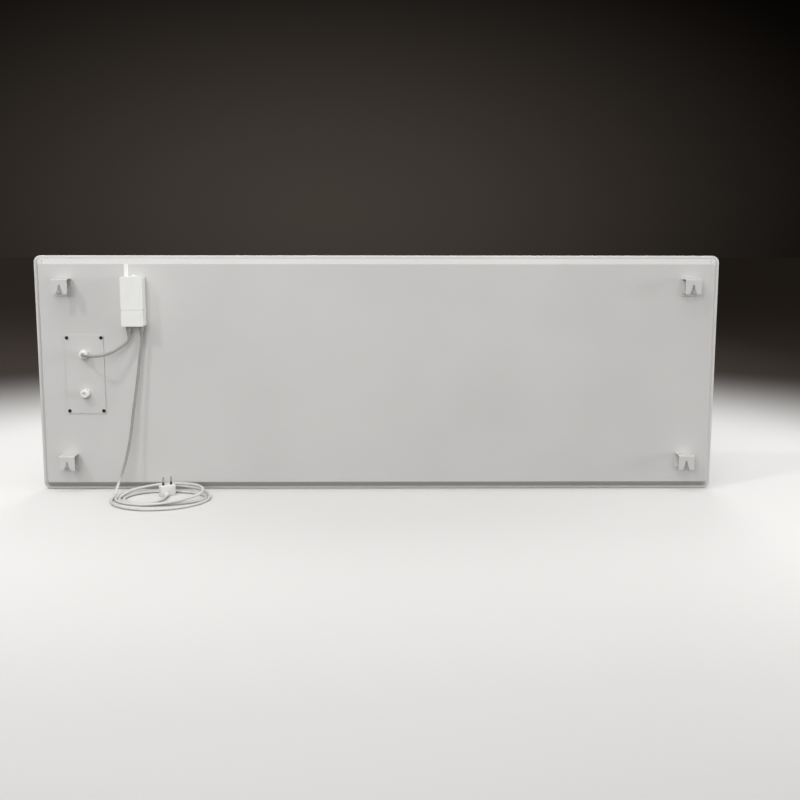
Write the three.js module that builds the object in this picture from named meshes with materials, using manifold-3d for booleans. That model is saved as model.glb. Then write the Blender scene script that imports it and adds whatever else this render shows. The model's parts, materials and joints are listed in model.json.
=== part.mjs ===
// Wall-hung infrared panel heater with a wireless receiver box, mains cord and plug.
//
// Lengths are millimetres. The pieces are laid out in the panel's own frame: X across the panel,
// Z up from its bottom edge, Y from the wall towards the room, with Y = 0 on the back plate. The
// whole model is then moved so that its origin is the point midway between the two upper hanging
// notches, in the plane of the wall.

import * as THREE from 'three';
import { mergeVertices } from 'three/addons/utils/BufferGeometryUtils.js';
import Module from 'manifold-3d';

// ---------------------------------------------------------------- driving dimensions

const SEAT = 0.3;                 // gap between two pieces that bear on each other
const SHEET = 1.2;                // steel sheet of the panel

const PANEL = {
  width: 1600, height: 555, depth: 24, corner: 16,
  hemWidth: 5, hemBack: 14, hemFront: 19, frontEdge: 2,
};
const END = -PANEL.width / 2;      // X of the panel's left end, where the wiring is
const TOP = PANEL.height;
const COVER = {
  grooveInset: 6.5, bevelFoot: 13, sideInset: 14.5, topInset: 19.3, corner: 12, plateCorner: 6,
};
const ELEMENT = { thickness: 2, inset: 30 };
const BOARD = {
  thickness: 7.4, inset: 12, cutoutClearance: 0.6,
  wireWindow: { width: 36, height: 60, fromService: 56 },
};
const RAIL = { height: 40, depth: 11, endInset: 38 };

const BRACKET = {
  depth: 37, width: 36.8, sheet: 1.5, bend: 3, plateHeight: 34.4, footHeight: 40.4,
  fromCentre: PANEL.width / 2 - 72, upperTop: TOP - 52.6, lowerTop: 89.4,
};
const NOTCH = { mouth: 17, slot: 5.2, slotHeight: 5.8, apexBelowTop: 13.3 };
const RIVET = {
  fromCentre: 11.5, aboveFootEnd: 7.6, head: 8, dome: 2.2, shank: 4, hole: 4.8, tail: 2, tailFlare: 1,
};

const SERVICE = { x: END + 114, z: TOP / 2 + 0.5, width: 90, height: 186, sheet: 1, lipX: 12, lipZ: 18 };
const SERVICE_SCREW = {
  spacingX: SERVICE.width - 10, spacingZ: SERVICE.height - 13.4,
  head: 8.2, dome: 2.4, shank: 3.6, hole: 4.4, length: 7,
};
const GLAND = {
  spacing: 92, raised: 2, thread: 15.8, threadLength: 10, flangeAcross: 20, flangeHeight: 5,
  cap: 21, capHeight: 12, capCrown: 3.5, capChamfer: 0.7, bore: 7.4, nut: 20, nutHeight: 4,
};
const BLANK = { diameter: 6.6, length: 14, recess: 2.2 };

const TERMINAL = { width: 18, height: 40, depth: 8.5, pitch: 11.8, screwHole: 4, screwDepth: 4 };
const CUTOUT = { fromService: 96, diameter: 16, proud: 1.5 };
const EARTH = { fromServiceX: 62, fromServiceZ: -40, across: 8, nut: 4, stud: 4, length: 8.5 };
const LEAD = { diameter: 2.6, sides: 8, stepLength: 3 };

const RECEIVER = {
  left: END + 210.5, right: END + 261.5, bottom: TOP - 162.5, top: TOP - 48, front: 35.8, seam: 26,
  wall: 1.8, corner: 3.5, edge: 1.2, groove: 1.4, terminalHeight: 37.4,
};
const PAD = { width: 26, height: 56, thickness: 1.2, right: 6, above: 25 };
const STRAP = {
  left: END + 212.8, width: 10.2, thickness: 1.2, bottom: TOP - 85, hookReach: 3.4, hookDrop: 6,
};
const PCB = { width: 42, height: 49, thickness: 1.6, behindFront: 20.5, aboveSeam: 2 };
const POST = { diameter: 6, inset: 5 };
const RELAY = { width: 16, height: 28, depth: 14, fromMiddle: -11, up: 20 };
const TRANSFORMER = { width: 18, height: 22, depth: 15, fromMiddle: 10, up: 18 };
const STRIP = {
  width: 40, height: 16, depth: 14, belowSeam: 3, ways: 4, screwHole: 4.4, screwDepth: 5,
};

const SWITCH = { x: END + 243.4, y: -14, length: 25.4, width: 13, wall: 1.6, depth: 13, bezel: 1 };
const ROCKER = {
  length: 17.4, footLength: 12.4, footDrop: 1.6, width: 8.6, tilt: 10, crown: 3.1,
  pivotBelowTop: 2.6, pin: 2.4, pinReach: 1.1,
};

const RELIEF = {
  y: -16, linkX: END + 223, mainsX: END + 252.7, flange: 13, flangeHeight: 2, neck: 8.4,
  length: 21, root: 12.6, rootLength: 9.5, shoulder: 1.5, tip: 8.6,
};

const CORD = { diameter: 6.6, sides: 10, stepLength: 15 };
const COIL = {
  midX: END + 297, midY: -95, sides: 6, stepsPerTurn: 24,
  turns: [
    { left: END + 192, front: -203, right: END + 413, back: -9, climbFrom: 165, height: 10 },
    { left: END + 199.8, front: -163, right: END + 398.5, back: -26, climbFrom: 70, height: 20.5 },
    { left: END + 207.8, front: -154.6, right: END + 405, back: -27.5, climbFrom: 180, height: 0 },
  ],
  landing: 378,
  end: { left: END + 219.5, front: -144, midX: END + 284, midY: -101 },
};
const PLUG = {
  x: END + 309.5, y: -57.5, turn: 34, width: 38, depth: 18, height: 26, corner: 5, edge: 1.6,
  cordX: END + 311.5, cordHeight: 5.6,
};
const PLUG_RELIEF = { length: 21, insideBody: 8, root: 10.4, tip: 8.2, aboveFloor: 0.2 };
const PIN = {
  spacing: 19, diameter: 4, length: 19, sleeve: 4.9, sleeveLength: 6.5, sleeveBore: 4.2, inBody: 8,
};

// Hand-chosen points of the two cords where they aren't coiled, as X from the panel's left end, depth
// and height. The heights were drawn for these heights of the relief's tip and of the upper gland.
const DRAWN = { tip: 371.2, gland: 326 };
const LINK_ROUTE = [
  [223, -16, 370.9], [222.5, -16.1, 365.6], [220.7, -16.6, 360.1], [217.7, -17.6, 355.2],
  [213.4, -19.2, 351.1], [207, -21.6, 346.3], [199.2, -24.8, 341], [190, -28.8, 335.6],
  [180, -33.2, 331], [169, -38, 327.7], [158.4, -42.4, 326], [149.8, -45.6, 325.7],
  [141, -47, 325.8], [132.4, -45.8, 326], [124.6, -41.4, 326.2], [118.4, -34.4, 326.2],
  [114.9, -26.6, 326], [114, -19.2, 326],
];
const DROP_ROUTE = [
  [252.7, -16, 370.9], [252.7, -16, 365], [251.4, -16.2, 352], [248, -17, 333.5],
  [244.4, -18, 302.5], [239.6, -20, 265], [233.9, -22, 227.1], [229, -24.2, 194.3],
  [221.4, -29, 136.3], [212, -37, 86], [205.6, -43.4, 60], [199.8, -50.6, 41],
  [195.2, -59, 25.6], [192.8, -67.4, 13.6], [192, -75.4, 6.2], [192, -82, 3.5],
  [192, -88.1, 3.5],
];

// ---------------------------------------------------------------- finishes

const FINISH = {
  whitePaint: { color: 0xe4e3e1, roughness: 0.42, metalness: 0 },
  whiteSteel: { color: 0xc6c5c3, roughness: 0.5, metalness: 0 },
  whitePlastic: { color: 0xe6e5e2, roughness: 0.36, metalness: 0 },
  cordJacket: { color: 0xe2e1de, roughness: 0.5, metalness: 0 },
  blackPlastic: { color: 0x161616, roughness: 0.45, metalness: 0 },
  blackSteel: { color: 0x1c1c1d, roughness: 0.4, metalness: 0.6 },
  zinc: { color: 0xb9bbbd, roughness: 0.35, metalness: 0.9 },
  nickel: { color: 0xb4b4b2, roughness: 0.25, metalness: 1 },
  brass: { color: 0xb9964e, roughness: 0.35, metalness: 1 },
  foam: { color: 0x5b5b5a, roughness: 0.95, metalness: 0 },
  element: { color: 0x2b2a29, roughness: 0.7, metalness: 0 },
  mineralBoard: { color: 0xd8cfb8, roughness: 0.95, metalness: 0 },
  circuitBoard: { color: 0x2f6b3f, roughness: 0.5, metalness: 0 },
  rubber: { color: 0x9a9a98, roughness: 0.8, metalness: 0 },
  redLead: { color: 0x7a4a2c, roughness: 0.5, metalness: 0 },
  blueLead: { color: 0x2c5d9c, roughness: 0.5, metalness: 0 },
  earthLead: { color: 0x8bab2f, roughness: 0.5, metalness: 0 },
};

// ---------------------------------------------------------------- geometry kit

const wasm = await Module();
wasm.setup();

function toSolid(geometry) {
  const bare = geometry.clone();
  bare.deleteAttribute('normal');
  bare.deleteAttribute('uv');
  const merged = mergeVertices(bare, 1e-4);
  return new wasm.Manifold(new wasm.Mesh({
    numProp: 3,
    vertProperties: new Float32Array(merged.attributes.position.array),
    triVerts: new Uint32Array(merged.index.array),
  }));
}

function toGeometry(solid) {
  const mesh = solid.getMesh();
  const geometry = new THREE.BufferGeometry();
  geometry.setAttribute('position', new THREE.BufferAttribute(mesh.vertProperties, 3));
  geometry.setIndex(new THREE.BufferAttribute(mesh.triVerts, 1));
  const flat = geometry.toNonIndexed();
  flat.computeVertexNormals();
  return flat;
}

// A box from its lowest to its highest corner.
function block([x0, x1], [y0, y1], [z0, z1]) {
  const geometry = new THREE.BoxGeometry(x1 - x0, y1 - y0, z1 - z0);
  return toSolid(geometry.translate((x0 + x1) / 2, (y0 + y1) / 2, (z0 + z1) / 2));
}

// A round or polygonal rod along Y, between two depths.
function rodY(diameter, [y0, y1], x, z, sides = 24) {
  const geometry = new THREE.CylinderGeometry(diameter / 2, diameter / 2, y1 - y0, sides);
  return toSolid(geometry.translate(x, (y0 + y1) / 2, z));
}

// A six-sided rod along Y, given across its flats.
function hexY(across, span, x, z) {
  return rodY(across / Math.cos(Math.PI / 6), span, x, z, 6);
}

// A rod along Z, between two heights.
function rodZ(diameter, x, y, [z0, z1], sides = 24) {
  const geometry = new THREE.CylinderGeometry(diameter / 2, diameter / 2, z1 - z0, sides);
  return toSolid(geometry.rotateX(Math.PI / 2).translate(x, y, (z0 + z1) / 2));
}

// A turned piece. The profile is a list of [radius, distance along the axis], in either direction.
function turned(profile, sides = 24) {
  const points = profile.map(([r, d]) => new THREE.Vector2(r, d));
  if (THREE.ShapeUtils.area(points) < 0) points.reverse();
  return new THREE.LatheGeometry(points, sides);
}

function closedTriangles(points, triangles) {
  const position = new Float32Array(points.length * 3);
  points.forEach((point, i) => point.toArray(position, i * 3));
  let volume = 0;
  for (const [a, b, c] of triangles) {
    volume += points[a].dot(new THREE.Vector3().crossVectors(points[b], points[c]));
  }
  const facingOut = volume > 0 ? triangles : triangles.map(([a, b, c]) => [a, c, b]);
  const geometry = new THREE.BufferGeometry();
  geometry.setAttribute('position', new THREE.BufferAttribute(position, 3));
  geometry.setIndex(facingOut.flat());
  return geometry;
}

// A closed body through rings of equally many points, capped at its first and last ring.
function throughRings(rings) {
  const count = rings[0].length;
  const triangles = [];
  for (let r = 0; r + 1 < rings.length; r += 1) {
    for (let i = 0; i < count; i += 1) {
      const a = r * count + i;
      const b = r * count + (i + 1) % count;
      triangles.push([a, b, b + count], [a, b + count, a + count]);
    }
  }
  const last = (rings.length - 1) * count;
  for (let i = 1; i + 1 < count; i += 1) {
    triangles.push([0, i + 1, i], [last, last + i, last + i + 1]);
  }
  return closedTriangles(rings.flat(), triangles);
}

const CORNER_STEPS = 5;

function roundedRectangle(width, height, corner, place) {
  const radius = Math.max(corner, 0.2);
  const points = [];
  for (let quarter = 0; quarter < 4; quarter += 1) {
    const signU = quarter === 0 || quarter === 3 ? 1 : -1;
    const signV = quarter < 2 ? 1 : -1;
    for (let step = 0; step <= CORNER_STEPS; step += 1) {
      const angle = (quarter + step / CORNER_STEPS) * Math.PI / 2;
      const u = signU * (width / 2 - radius) + radius * Math.cos(angle);
      const v = signV * (height / 2 - radius) + radius * Math.sin(angle);
      points.push(place(u, v));
    }
  }
  return points;
}

// A block with rounded upright corners and a small chamfer round both ends, standing on Z = 0.
function roundedBlock({ width, depth, height, corner, edge, foot = edge }) {
  const levels = [[foot, 0], [0, foot], [0, height - edge], [edge, height]];
  return throughRings(levels.map(([inset, z]) => roundedRectangle(
    width - 2 * inset, depth - 2 * inset, corner - inset, (u, v) => new THREE.Vector3(u, v, z),
  )));
}

// The same block laid with its axis along Y: its foot at the depth y0, its other end at y1.
function roundedBlockY({ x, z, width, height, y0, y1, corner, edge, foot }) {
  const geometry = roundedBlock({ width, depth: height, height: Math.abs(y1 - y0), corner, edge, foot });
  geometry.rotateX(y1 < y0 ? Math.PI / 2 : -Math.PI / 2);
  return toSolid(geometry.translate(x, y0, z));
}

// A round tube along a smooth curve through hand-chosen points.
function tube(points, diameter, sides, stepLength) {
  const stations = points.map((point) => new THREE.Vector3(...point));
  const curve = new THREE.CatmullRomCurve3(stations, false, 'centripetal');
  const section = new THREE.Shape();
  for (let i = 0; i < sides; i += 1) {
    const angle = 2 * Math.PI * i / sides;
    const corner = [diameter / 2 * Math.cos(angle), diameter / 2 * Math.sin(angle)];
    if (i === 0) section.moveTo(...corner);
    else section.lineTo(...corner);
  }
  const steps = Math.ceil(curve.getLength() / stepLength);
  return new THREE.ExtrudeGeometry(section, { steps, extrudePath: curve, curveSegments: 1 });
}

const panel = new THREE.Group();

function part(name, shape, finish, parent = panel) {
  const geometry = shape.isBufferGeometry ? shape : toGeometry(shape);
  const mesh = new THREE.Mesh(geometry, new THREE.MeshStandardMaterial(finish));
  mesh.name = name;
  parent.add(mesh);
  return mesh;
}

// ---------------------------------------------------------------- panel casing

function panelRing(insetX, insetZ, corner, y) {
  return roundedRectangle(PANEL.width - 2 * insetX, PANEL.height - 2 * insetZ, corner, (u, v) => (
    new THREE.Vector3(u, y, v + PANEL.height / 2)));
}

const TRAY_FLOOR = PANEL.depth - SHEET;
const HEM_STEPS = 5;

function frontPanel() {
  const ring = (inset, y) => panelRing(inset, inset, PANEL.corner - inset, y);
  const rings = [
    ring(SHEET, TRAY_FLOOR), ring(SHEET, PANEL.hemFront), ring(PANEL.hemWidth, PANEL.hemFront),
  ];
  const roll = PANEL.hemWidth / 2;
  for (let step = 0; step <= HEM_STEPS; step += 1) {
    const angle = Math.PI * step / HEM_STEPS;
    rings.push(ring(roll + roll * Math.cos(angle), PANEL.hemBack + roll - roll * Math.sin(angle)));
  }
  rings.push(ring(0, PANEL.depth - PANEL.frontEdge), ring(PANEL.frontEdge, PANEL.depth));
  return toSolid(throughRings(rings));
}

function backCoverPan() {
  const { grooveInset, bevelFoot, sideInset, topInset, corner, plateCorner } = COVER;
  const legEnd = TRAY_FLOOR - SEAT;
  const inner = grooveInset + SHEET;
  return toSolid(throughRings([
    panelRing(sideInset + SHEET, topInset + SHEET, plateCorner, SHEET),
    panelRing(inner, inner, corner - SHEET, bevelFoot + SHEET / 2),
    panelRing(inner, inner, corner - SHEET, legEnd),
    panelRing(grooveInset, grooveInset, corner, legEnd),
    panelRing(grooveInset, grooveInset, corner, bevelFoot),
    panelRing(sideInset, topInset, plateCorner, 0),
  ]));
}

// ---------------------------------------------------------------- what is fixed to the back plate

const SMALL_HOLE_SIDES = 10;

const brackets = [];
for (const [level, top] of [['upper', BRACKET.upperTop], ['lower', BRACKET.lowerTop]]) {
  for (const [side, sign] of [['left', -1], ['right', 1]]) {
    brackets.push({ name: `${level}_${side}`, x: sign * BRACKET.fromCentre, top });
  }
}
const footEnd = (bracket) => bracket.top - BRACKET.footHeight;
const rivetHeight = (bracket) => footEnd(bracket) + RIVET.aboveFootEnd;
const rivetPlaces = (bracket) => [['a', -1], ['b', 1]].map(([tag, sign]) => (
  { tag, x: bracket.x + sign * RIVET.fromCentre, z: rivetHeight(bracket) }));

const screwPlaces = [];
for (const [row, signZ] of [['top', 1], ['bottom', -1]]) {
  for (const [side, signX] of [['left', -1], ['right', 1]]) {
    screwPlaces.push({
      name: `${row}_${side}`,
      x: SERVICE.x + signX * SERVICE_SCREW.spacingX / 2,
      z: SERVICE.z + signZ * SERVICE_SCREW.spacingZ / 2,
    });
  }
}
const glandPlaces = [
  { name: 'link_gland', z: SERVICE.z + GLAND.raised + GLAND.spacing / 2 },
  { name: 'spare_gland', z: SERVICE.z + GLAND.raised - GLAND.spacing / 2 },
];

const strapTop = PANEL.height - COVER.topInset;
const strapMiddle = STRAP.left + STRAP.width / 2;

function backCover() {
  let cover = backCoverPan();
  const through = [-1, SHEET + 1];
  const openX = SERVICE.width / 2 - SERVICE.lipX;
  const openZ = SERVICE.height / 2 - SERVICE.lipZ;
  cover = cover.subtract(block(
    [SERVICE.x - openX, SERVICE.x + openX], through, [SERVICE.z - openZ, SERVICE.z + openZ],
  ));
  for (const { x, z } of screwPlaces) {
    cover = cover.subtract(rodY(SERVICE_SCREW.hole, through, x, z, SMALL_HOLE_SIDES));
  }
  for (const { x, z } of brackets.flatMap(rivetPlaces)) {
    cover = cover.subtract(rodY(RIVET.hole, through, x, z, SMALL_HOLE_SIDES));
  }
  const slotHalf = STRAP.width / 2 + SEAT;
  const slotBottom = strapTop - STRAP.thickness - 3 * SEAT;
  return cover.subtract(block(
    [strapMiddle - slotHalf, strapMiddle + slotHalf], through, [slotBottom, strapTop],
  ));
}

function rail(centreZ) {
  const back = SHEET + SEAT;
  const half = PANEL.width / 2 - RAIL.endInset;
  const outside = block(
    [-half, half], [back, back + RAIL.depth], [centreZ - RAIL.height / 2, centreZ + RAIL.height / 2],
  );
  const trough = block(
    [-half - 1, half + 1], [back + SHEET, back + RAIL.depth + 1],
    [centreZ - RAIL.height / 2 + SHEET, centreZ + RAIL.height / 2 - SHEET],
  );
  let channel = outside.subtract(trough);
  const crossing = brackets.filter((bracket) => Math.abs(rivetHeight(bracket) - centreZ) < RAIL.height / 2);
  for (const { x, z } of crossing.flatMap(rivetPlaces)) {
    channel = channel.subtract(rodY(RIVET.hole, [back - 1, back + SHEET + 1], x, z, SMALL_HOLE_SIDES));
  }
  return channel;
}

// The folded sheet of a bracket, drawn as a section across it, then cut with its notch and holes.
function bracketSheet({ x, top }) {
  const { depth, sheet, bend, plateHeight, footHeight, width } = BRACKET;
  const outline = new THREE.Shape();
  const front = -depth;
  const back = -SEAT;
  const innerBend = bend - sheet;
  outline.moveTo(front, top - plateHeight);
  outline.lineTo(front, top - bend);
  outline.absarc(front + bend, top - bend, bend, Math.PI, Math.PI / 2, true);
  outline.lineTo(back - bend, top);
  outline.absarc(back - bend, top - bend, bend, Math.PI / 2, 0, true);
  outline.lineTo(back, top - footHeight);
  outline.lineTo(back - sheet, top - footHeight);
  outline.lineTo(back - sheet, top - bend);
  outline.absarc(back - bend, top - bend, innerBend, 0, Math.PI / 2, false);
  outline.lineTo(front + bend, top - sheet);
  outline.absarc(front + bend, top - bend, innerBend, Math.PI / 2, Math.PI, false);
  outline.lineTo(front + sheet, top - plateHeight);
  const geometry = new THREE.ExtrudeGeometry(
    outline, { depth: width, bevelEnabled: false, curveSegments: 4 },
  );
  const acrossX = new THREE.Matrix4().makeBasis(
    new THREE.Vector3(0, 1, 0), new THREE.Vector3(0, 0, 1), new THREE.Vector3(1, 0, 0),
  );
  return toSolid(geometry.applyMatrix4(acrossX).translate(x - width / 2, 0, 0));
}

// The hanging notch: a V that opens downwards and ends in a short round-topped slot.
function notchCutter({ x, top }) {
  const { mouth, slot, slotHeight, apexBelowTop } = NOTCH;
  const apex = top - apexBelowTop;
  const mouthZ = top - BRACKET.plateHeight;
  const slope = (mouth - slot) / 2 / (apex - slotHeight - mouthZ);
  const below = 1;
  const outline = new THREE.Shape();
  outline.moveTo(x - mouth / 2 - slope * below, mouthZ - below);
  outline.lineTo(x + mouth / 2 + slope * below, mouthZ - below);
  outline.lineTo(x + slot / 2, apex - slotHeight);
  outline.absarc(x, apex - slot / 2, slot / 2, 0, Math.PI, false);
  outline.lineTo(x - slot / 2, apex - slotHeight);
  const cutter = new THREE.ExtrudeGeometry(
    outline, { depth: BRACKET.sheet + 2, bevelEnabled: false, curveSegments: 6 },
  );
  return toSolid(cutter.rotateX(Math.PI / 2).translate(0, -BRACKET.depth + BRACKET.sheet + 1, 0));
}

function bracketPiece(bracket) {
  let piece = bracketSheet(bracket).subtract(notchCutter(bracket));
  for (const { x, z } of rivetPlaces(bracket)) {
    piece = piece.subtract(rodY(
      RIVET.hole, [-SEAT - BRACKET.sheet - 1, 1], x, z, SMALL_HOLE_SIDES,
    ));
  }
  return piece;
}

// A domed head seated at the depth y, a shank towards the room and, on a rivet, a formed tail.
const DOME_STEPS = 3;
const DOME_RIM_SHARE = 0.25;

function domedFastener({ head, dome, shank, tail = 0, tailFlare = 0 }, y, x, z, shankEnd) {
  const profile = [[0, y - dome]];
  for (let step = 1; step <= DOME_STEPS; step += 1) {
    const angle = Math.PI / 2 * step / DOME_STEPS;
    const rise = DOME_RIM_SHARE + (1 - DOME_RIM_SHARE) * Math.cos(angle);
    profile.push([head / 2 * Math.sin(angle), y - dome * rise]);
  }
  profile.push([head / 2, y], [shank / 2, y], [shank / 2, shankEnd]);
  if (tail > 0) {
    const tailRadius = shank / 2 + tailFlare;
    profile.push([tailRadius, shankEnd], [tailRadius, shankEnd + tail]);
  }
  profile.push([0, shankEnd + tail]);
  return turned(profile, 12).translate(x, 0, z);
}

// ---------------------------------------------------------------- service plate and its glands

const plateInside = -SEAT;
const plateOutside = plateInside - SERVICE.sheet;

function servicePlate() {
  let plate = roundedBlockY({
    x: SERVICE.x, z: SERVICE.z, width: SERVICE.width, height: SERVICE.height,
    y0: plateInside, y1: plateOutside, corner: 2, edge: 0.2, foot: 0.2,
  });
  const through = [plateOutside - 1, 1];
  for (const { x, z } of screwPlaces) {
    plate = plate.subtract(rodY(SERVICE_SCREW.hole, through, x, z, SMALL_HOLE_SIDES));
  }
  for (const { z } of glandPlaces) {
    plate = plate.subtract(rodY(GLAND.thread + 2 * SEAT, through, SERVICE.x, z));
  }
  return plate;
}

const glandSeat = plateOutside - SEAT;
const capSeat = glandSeat - GLAND.flangeHeight - SEAT;
const capFront = capSeat - GLAND.capHeight;

function glandBody(z) {
  const threadEnd = glandSeat + GLAND.threadLength;
  return hexY(GLAND.flangeAcross, [glandSeat - GLAND.flangeHeight, glandSeat], SERVICE.x, z)
    .add(rodY(GLAND.thread, [glandSeat - GLAND.flangeHeight / 2, threadEnd], SERVICE.x, z))
    .subtract(rodY(GLAND.bore, [capSeat - 1, threadEnd + 1], SERVICE.x, z, 16));
}

function glandCap(z) {
  const { capCrown, capChamfer } = GLAND;
  const outer = GLAND.cap / 2;
  const bore = GLAND.bore / 2;
  const profile = [[bore, capSeat], [outer - capChamfer, capSeat], [outer, capSeat - capChamfer]];
  const steps = 4;
  for (let step = 0; step <= steps; step += 1) {
    const angle = Math.PI / 2 * step / steps;
    profile.push([
      outer - capCrown * (1 - Math.cos(angle)),
      capFront + capCrown * (1 - Math.sin(angle)),
    ]);
  }
  profile.push([bore, capFront], [bore, capSeat]);
  return turned(profile, 20).translate(SERVICE.x, 0, z);
}

function glandNut(z) {
  const face = plateInside + SEAT;
  return hexY(GLAND.nut, [face, face + GLAND.nutHeight], SERVICE.x, z)
    .subtract(rodY(GLAND.thread + 2 * SEAT, [face - 1, face + GLAND.nutHeight + 1], SERVICE.x, z));
}

// ---------------------------------------------------------------- inside the panel

const boardFront = TRAY_FLOOR - SEAT - ELEMENT.thickness - SEAT;
const boardBack = boardFront - BOARD.thickness;
const elementBack = boardFront + SEAT;
const cutoutX = SERVICE.x + CUTOUT.fromService;
const windowX = SERVICE.x + BOARD.wireWindow.fromService;

function heatingElement() {
  return block(
    [-PANEL.width / 2 + ELEMENT.inset, PANEL.width / 2 - ELEMENT.inset],
    [elementBack, elementBack + ELEMENT.thickness],
    [ELEMENT.inset, PANEL.height - ELEMENT.inset],
  );
}

function insulationBoard() {
  const { width, height } = BOARD.wireWindow;
  const through = [boardBack - 1, boardFront + 1];
  return block(
    [-PANEL.width / 2 + BOARD.inset, PANEL.width / 2 - BOARD.inset], [boardBack, boardFront],
    [BOARD.inset, PANEL.height - BOARD.inset],
  ).subtract(block(
    [windowX - width / 2, windowX + width / 2], through,
    [SERVICE.z - height / 2, SERVICE.z + height / 2],
  )).subtract(rodY(CUTOUT.diameter + 2 * BOARD.cutoutClearance, through, cutoutX, SERVICE.z));
}

const terminalBack = boardBack - SEAT - TERMINAL.depth;

function terminalBlock() {
  let body = block(
    [SERVICE.x - TERMINAL.width / 2, SERVICE.x + TERMINAL.width / 2],
    [terminalBack, boardBack - SEAT],
    [SERVICE.z - TERMINAL.height / 2, SERVICE.z + TERMINAL.height / 2],
  );
  const sunk = [terminalBack - 1, terminalBack + TERMINAL.screwDepth];
  for (let way = -1; way <= 1; way += 1) {
    body = body.subtract(rodY(
      TERMINAL.screwHole, sunk, SERVICE.x, SERVICE.z + way * TERMINAL.pitch, SMALL_HOLE_SIDES,
    ));
  }
  return body;
}

function thermalCutout() {
  return rodY(CUTOUT.diameter, [boardBack - CUTOUT.proud, elementBack - SEAT], cutoutX, SERVICE.z);
}

const earthX = SERVICE.x + EARTH.fromServiceX;
const earthZ = SERVICE.z + EARTH.fromServiceZ;

function earthStud() {
  const base = SHEET + SEAT;
  return rodY(EARTH.stud, [base, base + EARTH.length], earthX, earthZ, 16)
    .add(hexY(EARTH.across, [base, base + EARTH.nut], earthX, earthZ));
}

const leadStartX = SERVICE.x + TERMINAL.width / 2 + SEAT;
const leadY = boardBack - SEAT - LEAD.diameter;

// A lead from one way of the terminal block, through the board's window, to the element.
function elementLead(way) {
  const z = SERVICE.z + way * TERMINAL.pitch;
  const end = elementBack - SEAT;
  return tube([
    [leadStartX, leadY, z], [leadStartX + 4, leadY, z], [windowX - 9, leadY + 0.4, z],
    [windowX - 2, leadY + 3.6, z], [windowX + 1, end - 3, z], [windowX + 1, end, z],
  ], LEAD.diameter, LEAD.sides, LEAD.stepLength);
}

function earthLead() {
  const z = SERVICE.z - TERMINAL.pitch;
  const end = earthZ + EARTH.stud / 2 + SEAT;
  return tube([
    [leadStartX, leadY, z], [leadStartX + 5, leadY, z], [earthX - 6, leadY, z - 4],
    [earthX - 0.6, leadY, end + 8], [earthX, leadY, end],
  ], LEAD.diameter, LEAD.sides, LEAD.stepLength);
}

// ---------------------------------------------------------------- receiver box

const box = {
  x: (RECEIVER.left + RECEIVER.right) / 2,
  z: (RECEIVER.bottom + RECEIVER.top) / 2,
  width: RECEIVER.right - RECEIVER.left,
  height: RECEIVER.top - RECEIVER.bottom,
  back: -SEAT - STRAP.thickness - SEAT,
  seamZ: RECEIVER.bottom + RECEIVER.terminalHeight,
};
const pcbFront = -RECEIVER.front + PCB.behindFront;
const pcbBottom = box.seamZ + PCB.aboveSeam;
const postX = PCB.width / 2 - POST.inset;

// The back half of the box, with four posts inside that carry the circuit board.
function receiverBackShell() {
  const shell = roundedBlockY({
    x: box.x, z: box.z, width: box.width, height: box.height,
    y0: box.back, y1: -RECEIVER.seam, corner: RECEIVER.corner, edge: 0.2, foot: 1,
  });
  const { wall } = RECEIVER;
  let piece = shell.subtract(block(
    [RECEIVER.left + wall, RECEIVER.right - wall], [-RECEIVER.seam - 1, box.back - wall],
    [RECEIVER.bottom + wall, RECEIVER.top - wall],
  ));
  const boardBackFace = pcbFront + PCB.thickness;
  for (const x of [box.x - postX, box.x + postX]) {
    for (const z of [pcbBottom + POST.inset, pcbBottom + PCB.height - POST.inset]) {
      piece = piece.add(rodY(POST.diameter, [boardBackFace + SEAT, box.back - wall / 2], x, z, 12));
    }
  }
  for (const x of [RELIEF.linkX, RELIEF.mainsX]) {
    piece = piece.subtract(rodZ(
      RELIEF.neck + 2 * SEAT, x, RELIEF.y, [RECEIVER.bottom - 1, RECEIVER.bottom + wall + 1],
    ));
  }
  const holeX = SWITCH.length / 2 - SWITCH.bezel + SEAT;
  const holeY = SWITCH.width / 2 - SWITCH.bezel + SEAT;
  return piece.subtract(block(
    [SWITCH.x - holeX, SWITCH.x + holeX], [SWITCH.y - holeY, SWITCH.y + holeY],
    [RECEIVER.top - wall - 1, RECEIVER.top + 1],
  ));
}

// A shallow lid over the open front of the box, between two heights.
function receiverLid(z0, z1) {
  const { wall } = RECEIVER;
  const back = -RECEIVER.seam - SEAT;
  const lid = roundedBlockY({
    x: box.x, z: (z0 + z1) / 2, width: box.width, height: z1 - z0,
    y0: back, y1: -RECEIVER.front, corner: RECEIVER.corner, edge: RECEIVER.edge, foot: 0.2,
  });
  return lid.subtract(block(
    [RECEIVER.left + wall, RECEIVER.right - wall], [-RECEIVER.front + wall, back + 1],
    [z0 + wall, z1 - wall],
  ));
}

// The hanging strap: a flat strip with its top folded through a slot in the back plate.
function hangerStrap() {
  const { left, width, thickness, bottom, hookReach, hookDrop } = STRAP;
  const x = [left, left + width];
  const top = strapTop - SEAT;
  const inside = SHEET + SEAT;
  return block(x, [-SEAT - thickness, -SEAT], [bottom, top])
    .add(block(x, [-SEAT - thickness, inside + hookReach - 2], [top - thickness, top]))
    .add(block(x, [inside, inside + thickness], [top - hookDrop, top]));
}

function mountingPad() {
  const right = RECEIVER.right - PAD.right;
  const bottom = RECEIVER.bottom + PAD.above;
  return block([right - PAD.width, right], [-SEAT - PAD.thickness, -SEAT], [bottom, bottom + PAD.height]);
}

function circuitBoard() {
  return block(
    [box.x - PCB.width / 2, box.x + PCB.width / 2], [pcbFront, pcbFront + PCB.thickness],
    [pcbBottom, pcbBottom + PCB.height],
  );
}

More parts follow.
